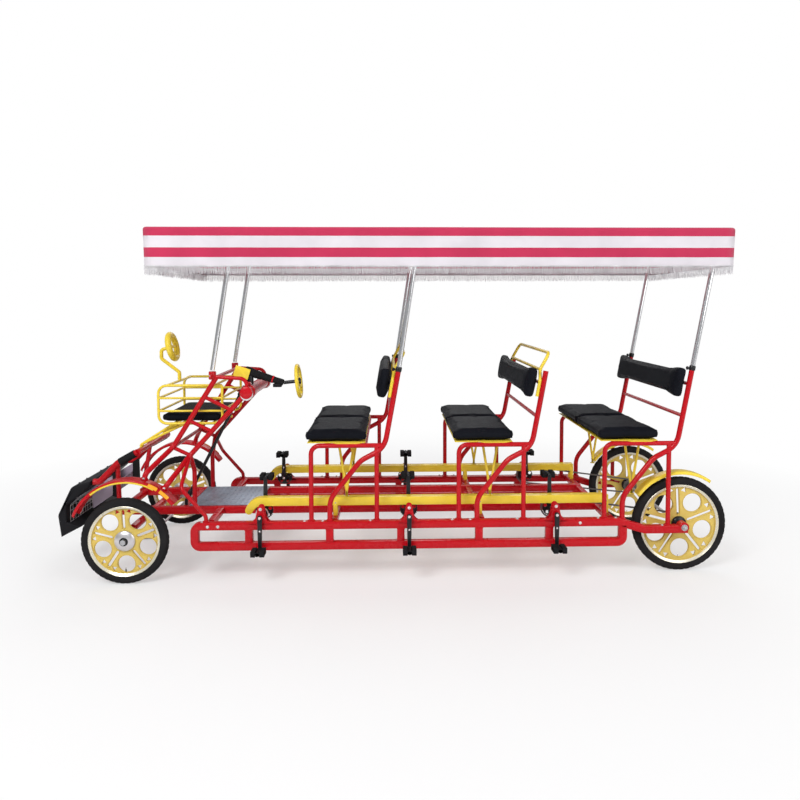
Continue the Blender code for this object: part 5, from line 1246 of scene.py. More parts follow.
def floor_parts():
    """The square tubes of the floor frame and the tread plate under the driver's feet."""
    reach = RAIL_Y - RAIL_HALF
    red = []
    for y in (-INNER_RAIL_Y, INNER_RAIL_Y):
        red.append(beam((INNER_RAIL_FRONT_X, y, INNER_RAIL_Z), (CROSS_X[-1] + CROSS_HALF, y, INNER_RAIL_Z),
                        RAIL_HALF))
    for x, half in [(x, reach) for x in CROSS_X] + [(x, INNER_RAIL_Y) for x in INNER_CROSS_X]:
        red.append(beam((x, -half, INNER_RAIL_Z), (x, half, INNER_RAIL_Z), CROSS_HALF, SOFT_EDGE))
    stand_in("floor_frame", [("red", joined(red))])
    low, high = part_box("floor_plate")
    metal = [slab(low, high, PLATE_EDGE)]
    across, along = TREAD_GRID
    for i in range(across):
        for j in range(along):
            x = low.x + (high.x - low.x) * (j + 0.5) / along
            y = low.y + (high.y - low.y) * (i + 0.5) / across
            turn = Matrix.Rotation(math.radians(45 if (i + j) % 2 else -45), 4, "Z")
            metal.append(moved(tread_bar(), Matrix.Translation((x, y, high.z)) @ turn))
    bolts = [bolt((x, s * INNER_RAIL_Y * PLATE_BOLT_SHARE, high.z), UP, RAIL_BOLT)
             for x in (low.x + PLATE_BOLT_INSET, high.x - PLATE_BOLT_INSET) for s in (-1, 1)]
    stand_in("floor_plate", [("tread_plate", joined(metal)), ("bolt", joined(bolts))])


def tread_bar():
    """One raised bar of the tread plate's pattern."""
    long, wide, tall = TREAD_BAR
    rim = [(long * a, wide * b) for a, b in ((1, 0), (0.4, 1), (-0.4, 1), (-1, 0), (-0.4, -1), (0.4, -1))]
    return loft([[(x, y, 0) for x, y in rim], [(x * TREAD_TOP[0], y * TREAD_TOP[1], tall) for x, y in rim]])


def rear_axle():
    """The rear axle shaft with its nuts and toothed sprockets."""
    end, (x, z) = RAIL_Y + BEARING_LENGTH / 2, (AXLE_REAR_X, REAR_WHEEL_RADIUS)
    steel = [across_tube(x, z, end + AXLE_END, AXLE_RADIUS)]
    sprockets = []
    for sign in SIDES.values():
        steel.append(bolt((x, sign * end, z), ACROSS * sign, AXLE_NUT))
        teeth = gear((x, z), SPROCKET_RADIUS - EDGE, SPROCKET_TEETH, TOOTH_DEPTH)
        sprockets.append(cut_plate([teeth], sign * GUARD_Y, SPROCKET_THICKNESS, SPROCKET_EDGE))
        sprockets.append(lathe(both_sides(SPROCKET_HUB), (x, sign * GUARD_Y, z), steps=24))
    stand_in("rear_axle", [("steel", joined(steel)), ("chain", joined(sprockets))])


def steering():
    """The tapered column, the shaft with its joints, and the small steering wheel."""
    start, end = [Vector((x, -COLUMN_Y, z)) for x, z in (COLUMN_START, COLUMN_END)]
    along = end - start
    length = along.length
    profile = COLUMN_FOOT[:]
    for rib in range(COLUMN_RIBS):
        at, less = RIB_START + rib * RIB_PITCH, rib * RIB_TAPER
        profile += [(RIB_TOP - less, at), (RIB_LOW - less, at + RIB_PITCH / 2)]
    profile += [(radius, length * share - back) for radius, share, back in COLUMN_STEM]
    stem = (STRUT_B_TOP[0], -COLUMN_Y, STRUT_B_TOP[1] + HEAD_TUBE_RADIUS)
    pod = start + along * POD_SHARE - UP * POD_DROP
    shapes = [("rubber", lathe(profile, start, along)), ("black", lathe(STEM_CLAMP, stem, UP)),
              ("red", lathe(COLUMN_RING, start + along * COLUMN_RING_SHARE, along)),
              ("plastic", slab(pod + Vector(POD_BOX[0]), pod + Vector(POD_BOX[1]), POD_EDGE))]
    stand_in("steering_column", shapes)
    foot = Vector((SHAFT_FOOT_X, -SHAFT_Y, INNER_RAIL_Z + CROSS_HALF))
    knee = foot + UP * SHAFT_RADIUS * 3
    head = Vector((STRUT_B_TOP[0], -SHAFT_Y, STRUT_B_TOP[1]))
    direction = (head - knee).normalized()
    top = head + Vector((-direction.z, 0, direction.x)) * (HEAD_TUBE_RADIUS + SHAFT_RADIUS)
    black = [tube([foot, knee, top], SHAFT_RADIUS, SHAFT_BEND)]
    black += [lathe(SHAFT_JOINT, knee.lerp(top, share), top - knee, 20) for share in SHAFT_JOINT_SHARES]
    stand_in("steering_shaft", [("black", joined(black))])
    axis = Vector((math.cos(HAND_WHEEL_RISE), 0, math.sin(HAND_WHEEL_RISE)))
    hub, up = end + axis * ((HAND_WHEEL_X - COLUMN_END[0]) / axis.x), axis.cross(ACROSS)
    yellow = [hoop(hub, axis, HAND_WHEEL_RADIUS, HAND_WHEEL_ROD, 56, 14)]
    for spoke in range(HAND_WHEEL_SPOKES):
        angle = math.tau * spoke / HAND_WHEEL_SPOKES + math.pi / 2
        reach = ACROSS * math.cos(angle) + up * math.sin(angle)
        ends = [hub + reach * r for r in (HAND_WHEEL_HUB, HAND_WHEEL_RADIUS)]
        yellow.append(sweep(ends, box_section(*HAND_SPOKE_SECTION), axis.cross(reach)))
    black = [lathe(HAND_WHEEL_CAP, hub, axis), tube([end + axis * EDGE, hub], COLUMN_PIN_RADIUS)]
    stand_in("steering_wheel", [("yellow", joined(yellow)), ("black", joined(black))],
             "hand_wheel")


def strut(foot_angle, knee, top):
    """A sloping strut of the front frame, from its foot on the left fender to its top."""
    x, z = polar(FRONT_FENDER["centre"], FRONT_FENDER["radius"], foot_angle)
    out = Vector((math.cos(math.radians(foot_angle)), 0, math.sin(math.radians(foot_angle))))
    foot = Vector((x, -STRUT_FOOT_Y, z))
    points = [foot, foot + out * STRUT_FOOT_LENGTH, (knee[0], -STRUT_Y, knee[1]), (top[0], -STRUT_Y, top[1])]
    shape = joined([tube(points, STRUT_RADIUS, STRUT_BEND), lathe(STRUT_FLANGE, foot, out, 24)])
    return shape, bolt(foot + out * FOOT_BOLT_RISE - ACROSS * FOOT_BOLT_SIDE, out, RAIL_BOLT)


def between(a, b, share):
    """The point at that share of the way from a to b."""
    return tuple(p + (q - p) * share for p, q in zip(a, b))


def front_frame():
    """The sloping front frame: struts, steps, head tube, down tubes, braces, sockets and their clamps."""
    head_x, head_z = STRUT_B_TOP
    knee_x, knee_z = STRUT_B_KNEE
    thin = STRUT_RADIUS * THIN_SHARE
    one_side, bolts = map(list, zip(*[strut(angle, knee, top) for angle, knee, top in zip(
        STRUT_FEET, (STRUT_A_KNEE, STRUT_B_KNEE), (STRUT_A_TOP, STRUT_B_TOP))]))
    for share in STEP_SHARES:
        ends = [between(STRUT_A_KNEE, STRUT_A_TOP, share), between(STRUT_B_KNEE, STRUT_B_TOP, share)]
        one_side.append(side_tube(-STRUT_Y, ends, thin))
    one_side.append(side_tube(-STRUT_Y, [STRUT_A_TOP, (head_x, STRUT_A_TOP[1] - thin), STRUT_B_TOP], thin,
                              STRUT_BEND))
    down = [(DOWN_TUBE_X, -STRUT_Y, knee_z), (DOWN_TUBE_X, -INNER_RAIL_Y, knee_z - DOWN_TUBE_DROP),
            (DOWN_TUBE_X, -INNER_RAIL_Y, INNER_RAIL_Z + RAIL_HALF + WELD_SINK)]
    one_side.append(tube(down, STRUT_RADIUS * DOWN_TUBE_SHARE, STRUT_BEND))
    rail = UPPER_RAIL_Z + RAIL_HALF
    brace = [(BRACE_FOOT_X, -RAIL_Y, rail), (BRACE_FOOT_X, -RAIL_Y, UPPER_RAIL_Z + BRACE_RISES[0]),
             (knee_x, -RAIL_Y, UPPER_RAIL_Z + BRACE_RISES[1]), (knee_x, -STRUT_Y, knee_z)]
    one_side += [tube(brace, thin, STRUT_BEND), lathe(BRACE_FLANGE, brace[0], UP, 24)]
    bolts.append(bolt((BRACE_FOOT_X - BRACE_BOLT[0], -RAIL_Y - BRACE_BOLT[1], rail), UP, RAIL_BOLT))
    foot_x, foot_z = POLES[0][0]
    socket = Vector((foot_x, -STRUT_Y, foot_z - SOCKET_DROP))
    one_side.append(lathe(SOCKET, socket, UP))
    one_side.append(side_tube(-STRUT_Y, [(foot_x, foot_z - SOCKET_TAIL), STRUT_A_TOP], thin))
    one_side.append(slab(*[socket + Vector(corner) for corner in SOCKET_EAR], PART_EDGE))
    bolts.append(bolt(socket + Vector(SOCKET_BOLT), (-1, 0, 0), SOCKET_BOLT_SIZE))
    cap = Vector((head_x, -HEAD_TUBE_HALF, head_z))
    one_side.append(lathe(HEAD_CLAMP, cap, ACROSS))
    one_side.append(slab(*[cap + Vector(corner) for corner in HEAD_EAR], SOFT_EDGE))
    for side in (-1, 1):
        place = cap + Vector((side * HEAD_BOLT[0], *HEAD_BOLT[1:]))
        bolts.append(bolt(place, (side, 0, 0), HEAD_BOLT_SIZE))
    half = HEAD_TUBE_HALF
    body = [(HEAD_TUBE_RADIUS - PART_EDGE, -half), (HEAD_TUBE_RADIUS, PART_EDGE - half)]
    body += [(r, -y) for r, y in reversed(body)]
    red = [pair(joined(one_side)), lathe(body, (head_x, 0, head_z))]
    red += [across_tube(*knee, STRUT_Y, thin) for knee in (STRUT_A_KNEE, STRUT_A_TOP)]
    red.append(pair(lathe(HEAD_CAP, cap, ACROSS)))
    chrome = pair(lathe(HEAD_RING, cap - UP * HEAD_RING_DROP, ACROSS))
    lean = Matrix.Translation(BADGE_PLACE) @ Matrix.Rotation(BADGE_LEAN, 4, "Y")
    badge = moved(slab([-half for half in BADGE_HALF], BADGE_HALF, PLATE_EDGE), lean)
    shapes = [("red", joined(red)), ("bolt", pair(joined(bolts))), ("chrome", chrome), ("yellow", badge)]
    stand_in("front_frame", shapes)


def fender(y, spec, finish_name):
    """A fender's crowned skin and its rolled edges, with rounded ends."""
    half, radius, (start, end) = spec["width"] / 2, spec["radius"], spec["turn"]
    edge = [(inward - half, -down) for inward, down in FENDER_EDGE]
    outer = edge + [(half * s, 0.0) for s in (-0.5, 0, 0.5)] + [(-a, b) for a, b in reversed(edge)]
    inner = [(a * (1 - FENDER_WALL / half), b - (FENDER_WALL if b > -FENDER_SKIRT else 0))
             for a, b in reversed(outer)]
    rings, edges = [], {-1: [], 1: []}
    for i in range(FENDER_STEPS + 1):
        degrees = start + (end - start) * i / FENDER_STEPS
        gap = math.radians(min(degrees - start, end - degrees)) * radius / FENDER_END
        share = 1 if gap > 1 else math.sqrt(max(0.0, 1 - (1 - gap) ** 2)) * FENDER_ROUND + 1 - FENDER_ROUND
        ring = []
        for a, b in outer + inner:
            x, z = polar(spec["centre"], radius + b, degrees)
            ring.append((x, y + a * share, z))
        rings.append(ring)
        for s in edges:
            x, z = polar(spec["centre"], radius - FENDER_FLANGE, degrees)
            edges[s].append((x, y + s * (half - EDGE) * share, z))
    rolled = [tube(line, ROLL_RADIUS, sides=ROD_SIDES) for line in edges.values()]
    return (finish_name, loft(rings)), rolled


def fenders():
    """The red front fenders with their reflectors and the yellow rear ones with their tabs."""
    centre, radius = FRONT_FENDER["centre"], FRONT_FENDER["radius"]
    leg_x = row_places(SEAT_FRONT_X)[-1] + SEAT_DEPTH
    top = REAR_WHEEL_RADIUS + math.sqrt(REAR_FENDER["radius"] ** 2 - (leg_x - AXLE_REAR_X) ** 2)
    for side, sign in SIDES.items():
        y = sign * FRONT_HALF_TRACK
        skin, rolled = fender(y, FRONT_FENDER, "red")
        shapes = [skin, ("red", joined(rolled))]
        edge = y + sign * (FRONT_FENDER["width"] / 2 - PART_EDGE)
        cos, sin = REFLECTOR_LEAN[0], sign * REFLECTOR_LEAN[1]
        slanted = [(a * cos + b * sin, b * cos - a * sin) for a, b in box_section(*REFLECTOR_SECTION)]
        for turn in REFLECTORS:
            path = arc(centre, radius - REFLECTOR_SINK, *turn, 8)
            shapes.append(("amber", sweep(in_plane(edge, path), slanted, ACROSS)))
        line = in_plane(edge + sign * LINE_OUT, arc(centre, radius - FENDER_FLANGE, *FENDER_LINE, 24))
        shapes.append(("yellow", tube(line, LINE_RADIUS, sides=ROD_SIDES)))
        stand_in("front_fender_" + side, shapes)
        y = sign * REAR_HALF_TRACK
        skin, rolled = fender(y, REAR_FENDER, "yellow")
        inner, outer = y + sign * (REAR_FENDER["width"] / 2 - PART_EDGE), sign * (SEAT_Y - SEAT_TUBE_RADIUS)
        tab = slab((leg_x - TAB_HALF, inner, top - TAB_DROPS[0]),
                   (leg_x + TAB_HALF, outer, top - TAB_DROPS[1]), PART_EDGE)
        nut = bolt((leg_x, (inner + outer) / 2, top - TAB_DROPS[1]), UP, TAB_BOLT)
        stand_in("rear_fender_" + side, [skin, ("yellow", joined([*rolled, tab])),
                                                         ("bolt", nut)])


def nose():
    """The moulded bumper, its lamps and grille, the nose tubes with their sleeves, and the sloped panel."""
    outline, rib = [[(v.x, v.z) for v in rounded(in_plane(0, line), BUMPER_BEND)]
                    for line in (BUMPER_OUTER, BUMPER_OUTER[1:])]
    body = [plate(outline + list(BUMPER_INNER), 0, 2 * BUMPER_HALF_WIDTH, BUMPER_EDGE, 4)]
    for y in BUMPER_RIB_Y:
        body.append(sweep(in_plane(y, inset_path(rib, BUMPER_RIB_SINK)), circle(BUMPER_RIB, ROD_SIDES),
                          ACROSS))
    stand_in("bumper", [("plastic", joined(body))])
    face = BUMPER_INNER[1][0]
    shapes = []
    for sign in SIDES.values():
        at = (face, sign * LAMP_Y, LAMP_Z)
        shapes += [("chrome", lathe(LAMP_BOWL, at, (1, 0, 0))), ("lens", lathe(LAMP_LENS, at, (1, 0, 0)))]
    mesh, reach = [], BUMPER_HALF_WIDTH * GRILLE_SHARE
    for i in range(GRILLE_WIRES):
        y = (2 * i / (GRILLE_WIRES - 1) - 1) * reach
        mesh.append(tube([(face + x, y, z) for x, z in GRILLE_LINE], GRILLE_ROD, GRILLE_BEND, 6))
    mesh += [across_tube(face + x, z, reach, GRILLE_ROD) for x, z in GRILLE_BARS]
    mesh.append(across_tube(face + LAMP_BAR_X, LAMP_Z, LAMP_Y, LAMP_BAR_RADIUS))
    stand_in("lamps", [*shapes, ("steel", joined(mesh))])
    y = -NOSE_TUBE_Y
    line = rounded(in_plane(y, [NOSE_START, (NOSE_START[0] + NOSE_FLAT, NOSE_START[1]), NOSE_KNEE,
                                NOSE_REAR]), NOSE_BEND)
    foot = (INNER_RAIL_FRONT_X + RAIL_HALF, -INNER_RAIL_Y, INNER_RAIL_Z + RAIL_HALF)
    stay = [(NOSE_KNEE[0], y, NOSE_KNEE[1]), (*foot[:2], foot[2] + NOSE_STAY_RISE), foot]
    red = [sweep(line, circle(NOSE_TUBE_RADIUS, TUBE_SIDES), ACROSS),
           tube(stay, NOSE_STAY_RADIUS, NOSE_STAY_BEND)]
    sleeve = side_tube(y, [between(NOSE_KNEE, NOSE_REAR, share) for share in SLEEVE_SHARES], SLEEVE_RADIUS)
    shapes = [("red", pair(joined(red))), ("rubber", pair(sleeve)),
              ("red", across_tube(*NOSE_REAR, NOSE_TUBE_Y, NOSE_BAR_RADIUS))]
    stand_in("nose_frame", shapes)
    panel = sweep(in_plane(0, PANEL_LINE), box_section(PANEL_Y, *PANEL_SECTION), ACROSS)
    sides = plate(PANEL_SIDE, -PANEL_Y, SOFT_EDGE, THIN_EDGE)
    flap = plate(PANEL_FLAP, PART_EDGE - PANEL_Y, SOFT_EDGE, THIN_EDGE)
    piece("nose_panel", "chassis", [("panel", joined([panel, pair(sides)])), ("rubber", pair(flap))])


def post_point(x, z, forward=0.0):
    """The x and z on a seat post's centre line at that height, moved forward square to it."""
    (run_a, z_a), (run_b, z_b) = POST_POINTS[2:]
    slope = (run_b - run_a) / (z_b - z_a)
    lean = math.atan(slope)
    return x + run_a + (z - z_a) * slope - forward * math.cos(lean), z + forward * math.sin(lean)


def seat_frame(row, x):
    """A row's red frame: legs, curved posts, cross tubes, foot flanges and clamps."""
    rear_x, brace_x, bend_x = x + SEAT_DEPTH, x + POST_POINTS[0][0], x + POST_POINTS[2][0]
    post = [(brace_x, rail_top(brace_x))] + [(x + run, z) for run, z in POST_POINTS]
    one_side = [side_tube(-SEAT_Y, [(x, rail_top(x)), (x, SEAT_TUBE_Z), (bend_x, SEAT_TUBE_Z)],
                          SEAT_TUBE_RADIUS, SEAT_BEND),
                side_tube(-SEAT_Y, [(rear_x, rail_top(rear_x)), (rear_x, SEAT_TUBE_Z)], SEAT_TUBE_RADIUS),
                side_tube(-SEAT_Y, post, POST_RADIUS, POST_BEND)]
    for foot_x in (x, rear_x, brace_x):
        low = SLOPED_FLANGE if foot_x > ARM_STEP_FRONT_X else 0
        flange = [(SEAT_FLANGE[0][0], -low), *SEAT_FLANGE]
        one_side.append(lathe(flange, (foot_x, -SEAT_Y, rail_top(foot_x)), UP, 24))
    one_side.append(hoop((bend_x - CLAMP_BACK, -SEAT_Y, SEAT_TUBE_Z), CLAMP_AXIS, *CLAMP_HOOP, 24, 6))
    across = [(x + SEAT_BEND * 2, SEAT_TUBE_Z), (x + PAN_RUN[1], SEAT_TUBE_Z)]
    for share in POST_CROSS_SHARES:
        run, z = between(*POST_POINTS[2:], share)
        across.append((x + run, z))
    red = [pair(joined(one_side))] + [across_tube(px, pz, SEAT_Y, SEAT_CROSS_RADIUS) for px, pz in across]
    stand_in("seat_frame_%d" % row, [("red", joined(red))])


def seat_pan(row, x):
    """A row's yellow pan with its turned-down lip, and the V struts under it."""
    low, high, top = x + PAN_RUN[0], x + PAN_RUN[1], CUSHION_Z - PAN_GAP
    foot_x, foot_z = x + STRUT_RUN, GUARD_BOTTOM_Z + GUARD_HEIGHT
    loop = rounded_loop([(low, top - PAN_THICKNESS), (high, top - PAN_THICKNESS), (high, top), (low, top)],
                        PAN_BEND)
    yellow = [plate(loop, 0, 2 * (PAN_HALF_WIDTH - PAN_INSET), PAN_EDGE)]
    start, run = low + (high - low) * LIP_SHARES[0], (high - low) * LIP_SHARES[1]
    bow = [(start + run * s, top - EDGE - LIP_DEPTH * math.sin(math.pi * s)) for s in LIP_STEPS]
    for sign in SIDES.values():
        y = sign * GUARD_Y
        yellow.append(plate(bow, sign * (PAN_HALF_WIDTH - PAN_THICKNESS), LIP_WIDTH, PLATE_EDGE))
        for lean in (-STRUT_SPREAD, STRUT_SPREAD):
            points = [(foot_x, foot_z), (foot_x, foot_z + V_FOOT), (foot_x + lean, top - PART_EDGE)]
            yellow.append(side_tube(y, points, V_RADIUS, V_BEND))
        yellow.append(slab((foot_x - V_PLATE[0], y - V_PLATE[1], foot_z),
                           (foot_x + V_PLATE[0], y + V_PLATE[1], foot_z + SOFT_EDGE), EDGE))
    bolts = [bolt((foot_x + dx, s * GUARD_Y, foot_z + SOFT_EDGE), UP, V_BOLT)
             for dx in (-V_BOLT_RUN, V_BOLT_RUN) for s in (-1, 1)]
    stand_in("seat_pan_%d" % row, [("yellow", joined(yellow)), ("bolt", joined(bolts))])


def grab_loop(row, x):
    """The yellow loop around a back pad, standing on the posts."""
    offset = POST_RADIUS + LOOP_RADIUS * math.cos(math.pi / 6)
    low, shoulder, high = [post_point(x, z, offset) for z in (LOOP_Z[0], LOOP_Z[1], POST_POINTS[3][1])]
    near, far = SEAT_Y - LOOP_INSET, SEAT_Y
    line = [(low[0], -far, low[1]), (shoulder[0], -far, shoulder[1]), (high[0], -near, high[1]),
            (high[0] + LOOP_LEAN, -near, LOOP_Z[2])]
    line += [(px, -py, pz) for px, py, pz in reversed(line)]
    bar = tube([line[2], (high[0], near, high[1])], LOOP_RADIUS * LOOP_BAR_SHARE)
    stand_in("grab_loop_%d" % row, [("yellow",
                                                     joined([tube(line, LOOP_RADIUS, LOOP_BEND), bar]))])


def padded_block(size, edge, cap, squeeze):
    """A stuffed block about the origin: a cloth skin blown up a little from a smaller block, and smoothed."""
    wide, deep, high = (axis * squeeze for axis in size)
    bm = bmesh.new()
    bmesh.ops.create_cube(bm, size=1.0)
    bmesh.ops.scale(bm, vec=(wide, deep, high * BLOCK_FLATTEN), verts=bm.verts)
    bmesh.ops.bevel(bm, geom=bm.edges[:], offset=edge, segments=BLOCK_STEPS, profile=BLOCK_ROUND,
                    affect="EDGES")
    mesh = bpy.data.meshes.new("block")
    bm.to_mesh(mesh)
    bm.free()
    obj = bpy.data.objects.new("block", mesh)
    bpy.context.scene.collection.objects.link(obj)
    remesh = obj.modifiers.new("remesh", "REMESH")
    remesh.mode = "VOXEL"
    remesh.voxel_size = VOXEL
    settle(obj)
    start = [v.co.copy() for v in obj.data.vertices]
    cloth = obj.modifiers.new("cloth", "CLOTH")
    cloth.settings.use_pressure = True
    cloth.settings.uniform_pressure_force = CLOTH_PRESSURE
    cloth.settings.quality = CLOTH_QUALITY
    cloth.settings.effector_weights.gravity = 0.0
    scene = bpy.context.scene
    for step in range(1, CLOTH_STEPS + 1):
        scene.frame_set(step)
    settle(obj)
    scene.frame_set(1)
    for vertex, first in zip(obj.data.vertices, start):
        way = vertex.co - first
        if way.length > cap:
            vertex.co = first + way.normalized() * cap
    shape = [v.co.copy() for v in obj.data.vertices], [tuple(p.vertices) for p in obj.data.polygons]
    bpy.data.objects.remove(obj)
    spans = [max(axis) - min(axis) for axis in zip(*shape[0])]
    return [Vector(c * want / span for c, want, span in zip(p, size, spans)) for p in shape[0]], shape[1]


def settle(obj):
    """Applies the object's modifiers to its mesh."""
    bpy.context.view_layer.update()
    mesh = bpy.data.meshes.new_from_object(obj.evaluated_get(bpy.context.evaluated_depsgraph_get()))
    obj.modifiers.clear()
    obj.data = mesh


def soft_piece(name, shape, seams, matrix):
    """The padded piece that stands for a node, in its place, with its piping."""
    shapes = [("vinyl", moved(part, matrix)) for part in (shape, *seams)]
    piece(name + "_look", "chassis", shapes, [name], SOFT_CREASE)


def piping(block, size, height, rod):
    """The raised seam around a cushion at that height, lying on its skin."""
    skin = BVHTree.FromPolygons(*block)
    wide, deep = size[0] / 2, size[1] / 2
    corners = rounded_loop([(-wide, -deep), (wide, -deep), (wide, deep), (-wide, deep)], SEAM_BEND)
    path = []
    for a, b in zip(corners, corners[1:] + corners[:1]):
        count = max(1, round(math.dist(a, b) / SEAM_STEP))
        for step in range(count):
            path.append(skin.find_nearest(Vector((*between(a, b, step / count), height)))[0])
    return sweep(path, circle(rod, ROD_SIDES), UP, closed=True)


def seats():
    """The three rows: frames, pans, cushions, back pads and grab loops."""
    size = (CUSHION_RUN[1] - CUSHION_RUN[0], CUSHION_Y[1] - CUSHION_Y[0], CUSHION_HEIGHT)
    cushion = padded_block(size, *CUSHION_SHAPE)
    seams = [piping(cushion, size, s * size[2] * SEAM_SHARES[0], SEAM_RODS[0]) for s in (-1, 1)]
    pad = padded_block((PAD_THICKNESS, 2 * PAD_HALF_WIDTH, PAD_HEIGHT), *PAD_SHAPE)
    slope = math.atan((POST_POINTS[3][0] - POST_POINTS[2][0]) / (POST_POINTS[3][1] - POST_POINTS[2][1]))
    for row, x in enumerate(row_places(SEAT_FRONT_X), 1):
        seat_frame(row, x)
        seat_pan(row, x)
        for side, sign in SIDES.items():
            middle = (x + sum(CUSHION_RUN) / 2, sign * sum(CUSHION_Y) / 2, CUSHION_Z + CUSHION_HEIGHT / 2)
            soft_piece("cushion_%s_%d" % (side, row), cushion, seams, Matrix.Translation(middle))
        name = "back_pad_%d" % row
        low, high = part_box(name)
        place = Matrix.Translation((low + high) / 2) @ Matrix.Rotation(slope, 4, "Y")
        soft_piece(name, pad, [], place)
        if row < ROW_COUNT:
            grab_loop(row, x)


def roof_point(x, y):
    """A place on the cloth roof: crowned across, sagging a little between the beams, and faintly rippled."""
    share, sag = y / CANOPY_HALF_WIDTH, 0.0
    beams = (CANOPY_X[0], POLES[0][1], POLES[1][1], CANOPY_X[1])
    for a, b in zip(beams, beams[1:]):
        if a <= x <= b:
            sag = ROOF_SAG * math.sin(math.pi * (x - a) / (b - a)) * (1 - share ** 4)
    ripple = ROOF_RIPPLE * math.sin(x * RIPPLE_TURNS[0] + y * RIPPLE_TURNS[1]) * (1 - share ** 2)
    return Vector((x, y, CANOPY_EDGE_Z + CANOPY_CROWN * (1 - share * share) - sag + ripple))


def roof(half_x, mid_x):
    """The roof's points and faces, each face's stripe, and the rim: its points and their ways outward."""
    edge, end, lines = CANOPY_HALF_WIDTH - CANOPY_FOLD, half_x - CANOPY_FOLD, [0.0]
    while edge - len(lines) * TOP_BAND > TOP_BAND_END:
        lines.append(edge - (len(lines) - 1) * TOP_BAND)
    lines.sort()
    ys = [-v for v in reversed(lines[1:])] + lines
    fine = [y for a, b in zip(ys, ys[1:]) for y in (a, (a + b) / 2)] + [ys[-1]]
    xs = [mid_x + end * (2 * i / ROOF_STEPS - 1) for i in range(ROOF_STEPS + 1)]
    points = [roof_point(x, y) for x in xs for y in fine]
    columns, faces, kinds = len(fine), [], []
    for i in range(ROOF_STEPS):
        for j in range(columns - 1):
            a = i * columns + j
            faces.append((a, a + columns, a + columns + 1, a + 1))
            kinds.append(int((edge - abs((fine[j] + fine[j + 1]) / 2)) / TOP_BAND + 1e-6) % 2)
    rim = [i * columns for i in range(ROOF_STEPS + 1)]
    rim += [ROOF_STEPS * columns + j for j in range(1, columns)]
    rim += [i * columns + columns - 1 for i in range(ROOF_STEPS - 1, -1, -1)]
    rim += range(columns - 2, 0, -1)
    outward = []
    for index in rim:
        p, out = points[index], Vector((0, 0, 0))
        if abs(abs(p.y) - edge) < 1e-6:
            out.y = math.copysign(1, p.y)
        if abs(p.x - mid_x) > end - 1e-6:
            out.x = math.copysign(1, p.x - mid_x)
        outward.append(out.normalized())
    return points, faces, kinds, rim, outward


def valance_drops():
    """The cloth's lines below the rim, each as way out, way down and stripe, and the last one's depth."""
    drops, depth = [], CANOPY_FOLD
    for turn in map(math.radians, FOLD_TURNS):
        drops.append((CANOPY_FOLD * math.sin(turn), CANOPY_FOLD * (1 - math.cos(turn)), 0))
    for band, height in enumerate(VALANCE_BANDS):
        run = height if band else height - CANOPY_FOLD
        drops += [(CANOPY_FOLD, depth + run * part / 3, band % 2) for part in range(1, 4)]
        depth += run
    return drops, depth


def canopy():
    """The cloth roof with its striped valance as one sheet, and its braid and fringe."""
    half_x, mid_x = (CANOPY_X[1] - CANOPY_X[0]) / 2, sum(CANOPY_X) / 2
    points, faces, kinds, rim, outward = roof(half_x, mid_x)
    drops, depth = valance_drops()
    spots, walked = [], 0.0
    for a, b in zip(rim, rim[1:] + rim[:1]):
        spots.append(walked)
        walked += (points[b] - points[a]).length
    corners = [points[i].copy() for i in rim]
    previous = rim
    for away, down, band in drops:
        ring = list(range(len(points), len(points) + len(rim)))
        share = max(0.0, down - CANOPY_FOLD) / (depth - CANOPY_FOLD)
        for base, out, spot in zip(corners, outward, spots):
            wave = sum(size * math.sin(spot * turns + start) for size, turns,
                       start in VALANCE_WAVES) - VALANCE_TUCK
            corner = math.sqrt(2) if abs(out.x) > 0.5 and abs(out.y) > 0.5 else 1
            spread = out * (away + share * wave) * corner
            edge_z = CANOPY_EDGE_Z + (base.z - CANOPY_EDGE_Z) * max(0.0, 1 - down / CANOPY_FOLD)
            points.append(Vector((base.x + spread.x, base.y + spread.y, edge_z - down)))
        for a, b, c, d in zip(previous, previous[1:] + previous[:1], ring[1:] + ring[:1], ring):
            faces.append((a, b, c, d))
            kinds.append(band)
        previous = ring
    mesh = bpy.data.meshes.new("canopy_cloth")
    mesh.from_pydata(points, [], faces)
    mesh.polygons.foreach_set("material_index", kinds)
    for kind in ("crimson_cloth", "white_cloth"):
        mesh.materials.append(finish(kind))
    mesh.shade_smooth()
    sheet = bpy.data.objects.new("canopy_cloth", mesh)
    bpy.context.scene.collection.objects.link(sheet)
    dress(sheet, "chassis", ["canopy"])
    trim = fringe([points[i] for i in previous])


def loose(size):
    """A random way sideways."""
    return Vector((chance.uniform(-1, 1), chance.uniform(-1, 1), 0)) * size


def fringe(hem):
    """The braid along the hem and the threads hanging from it."""
    braid, threads = sweep(hem, box_section(*BRAID_SECTION), closed=True), []
    for a, b in zip(hem, hem[1:] + hem[:1]):
        count = max(1, round((b - a).length / FRINGE_PITCH))
        for step in range(count):
            top = a.lerp(b, (step + 0.5) / count)
            lean = loose(THREAD_LEAN)
            drop = UP * FRINGE_LENGTH * chance.uniform(*THREAD_LENGTHS)
            path = [top + UP * THREAD_ROOT, top + loose(THREAD_BOW) - drop * 0.5, top + lean - drop]
            threads.append(sweep(path, circle(THREAD_RADIUS, 3)))
    return piece("canopy_fringe", "chassis", [("thread", joined([braid])),
                                                       ("thread", joined(threads))])


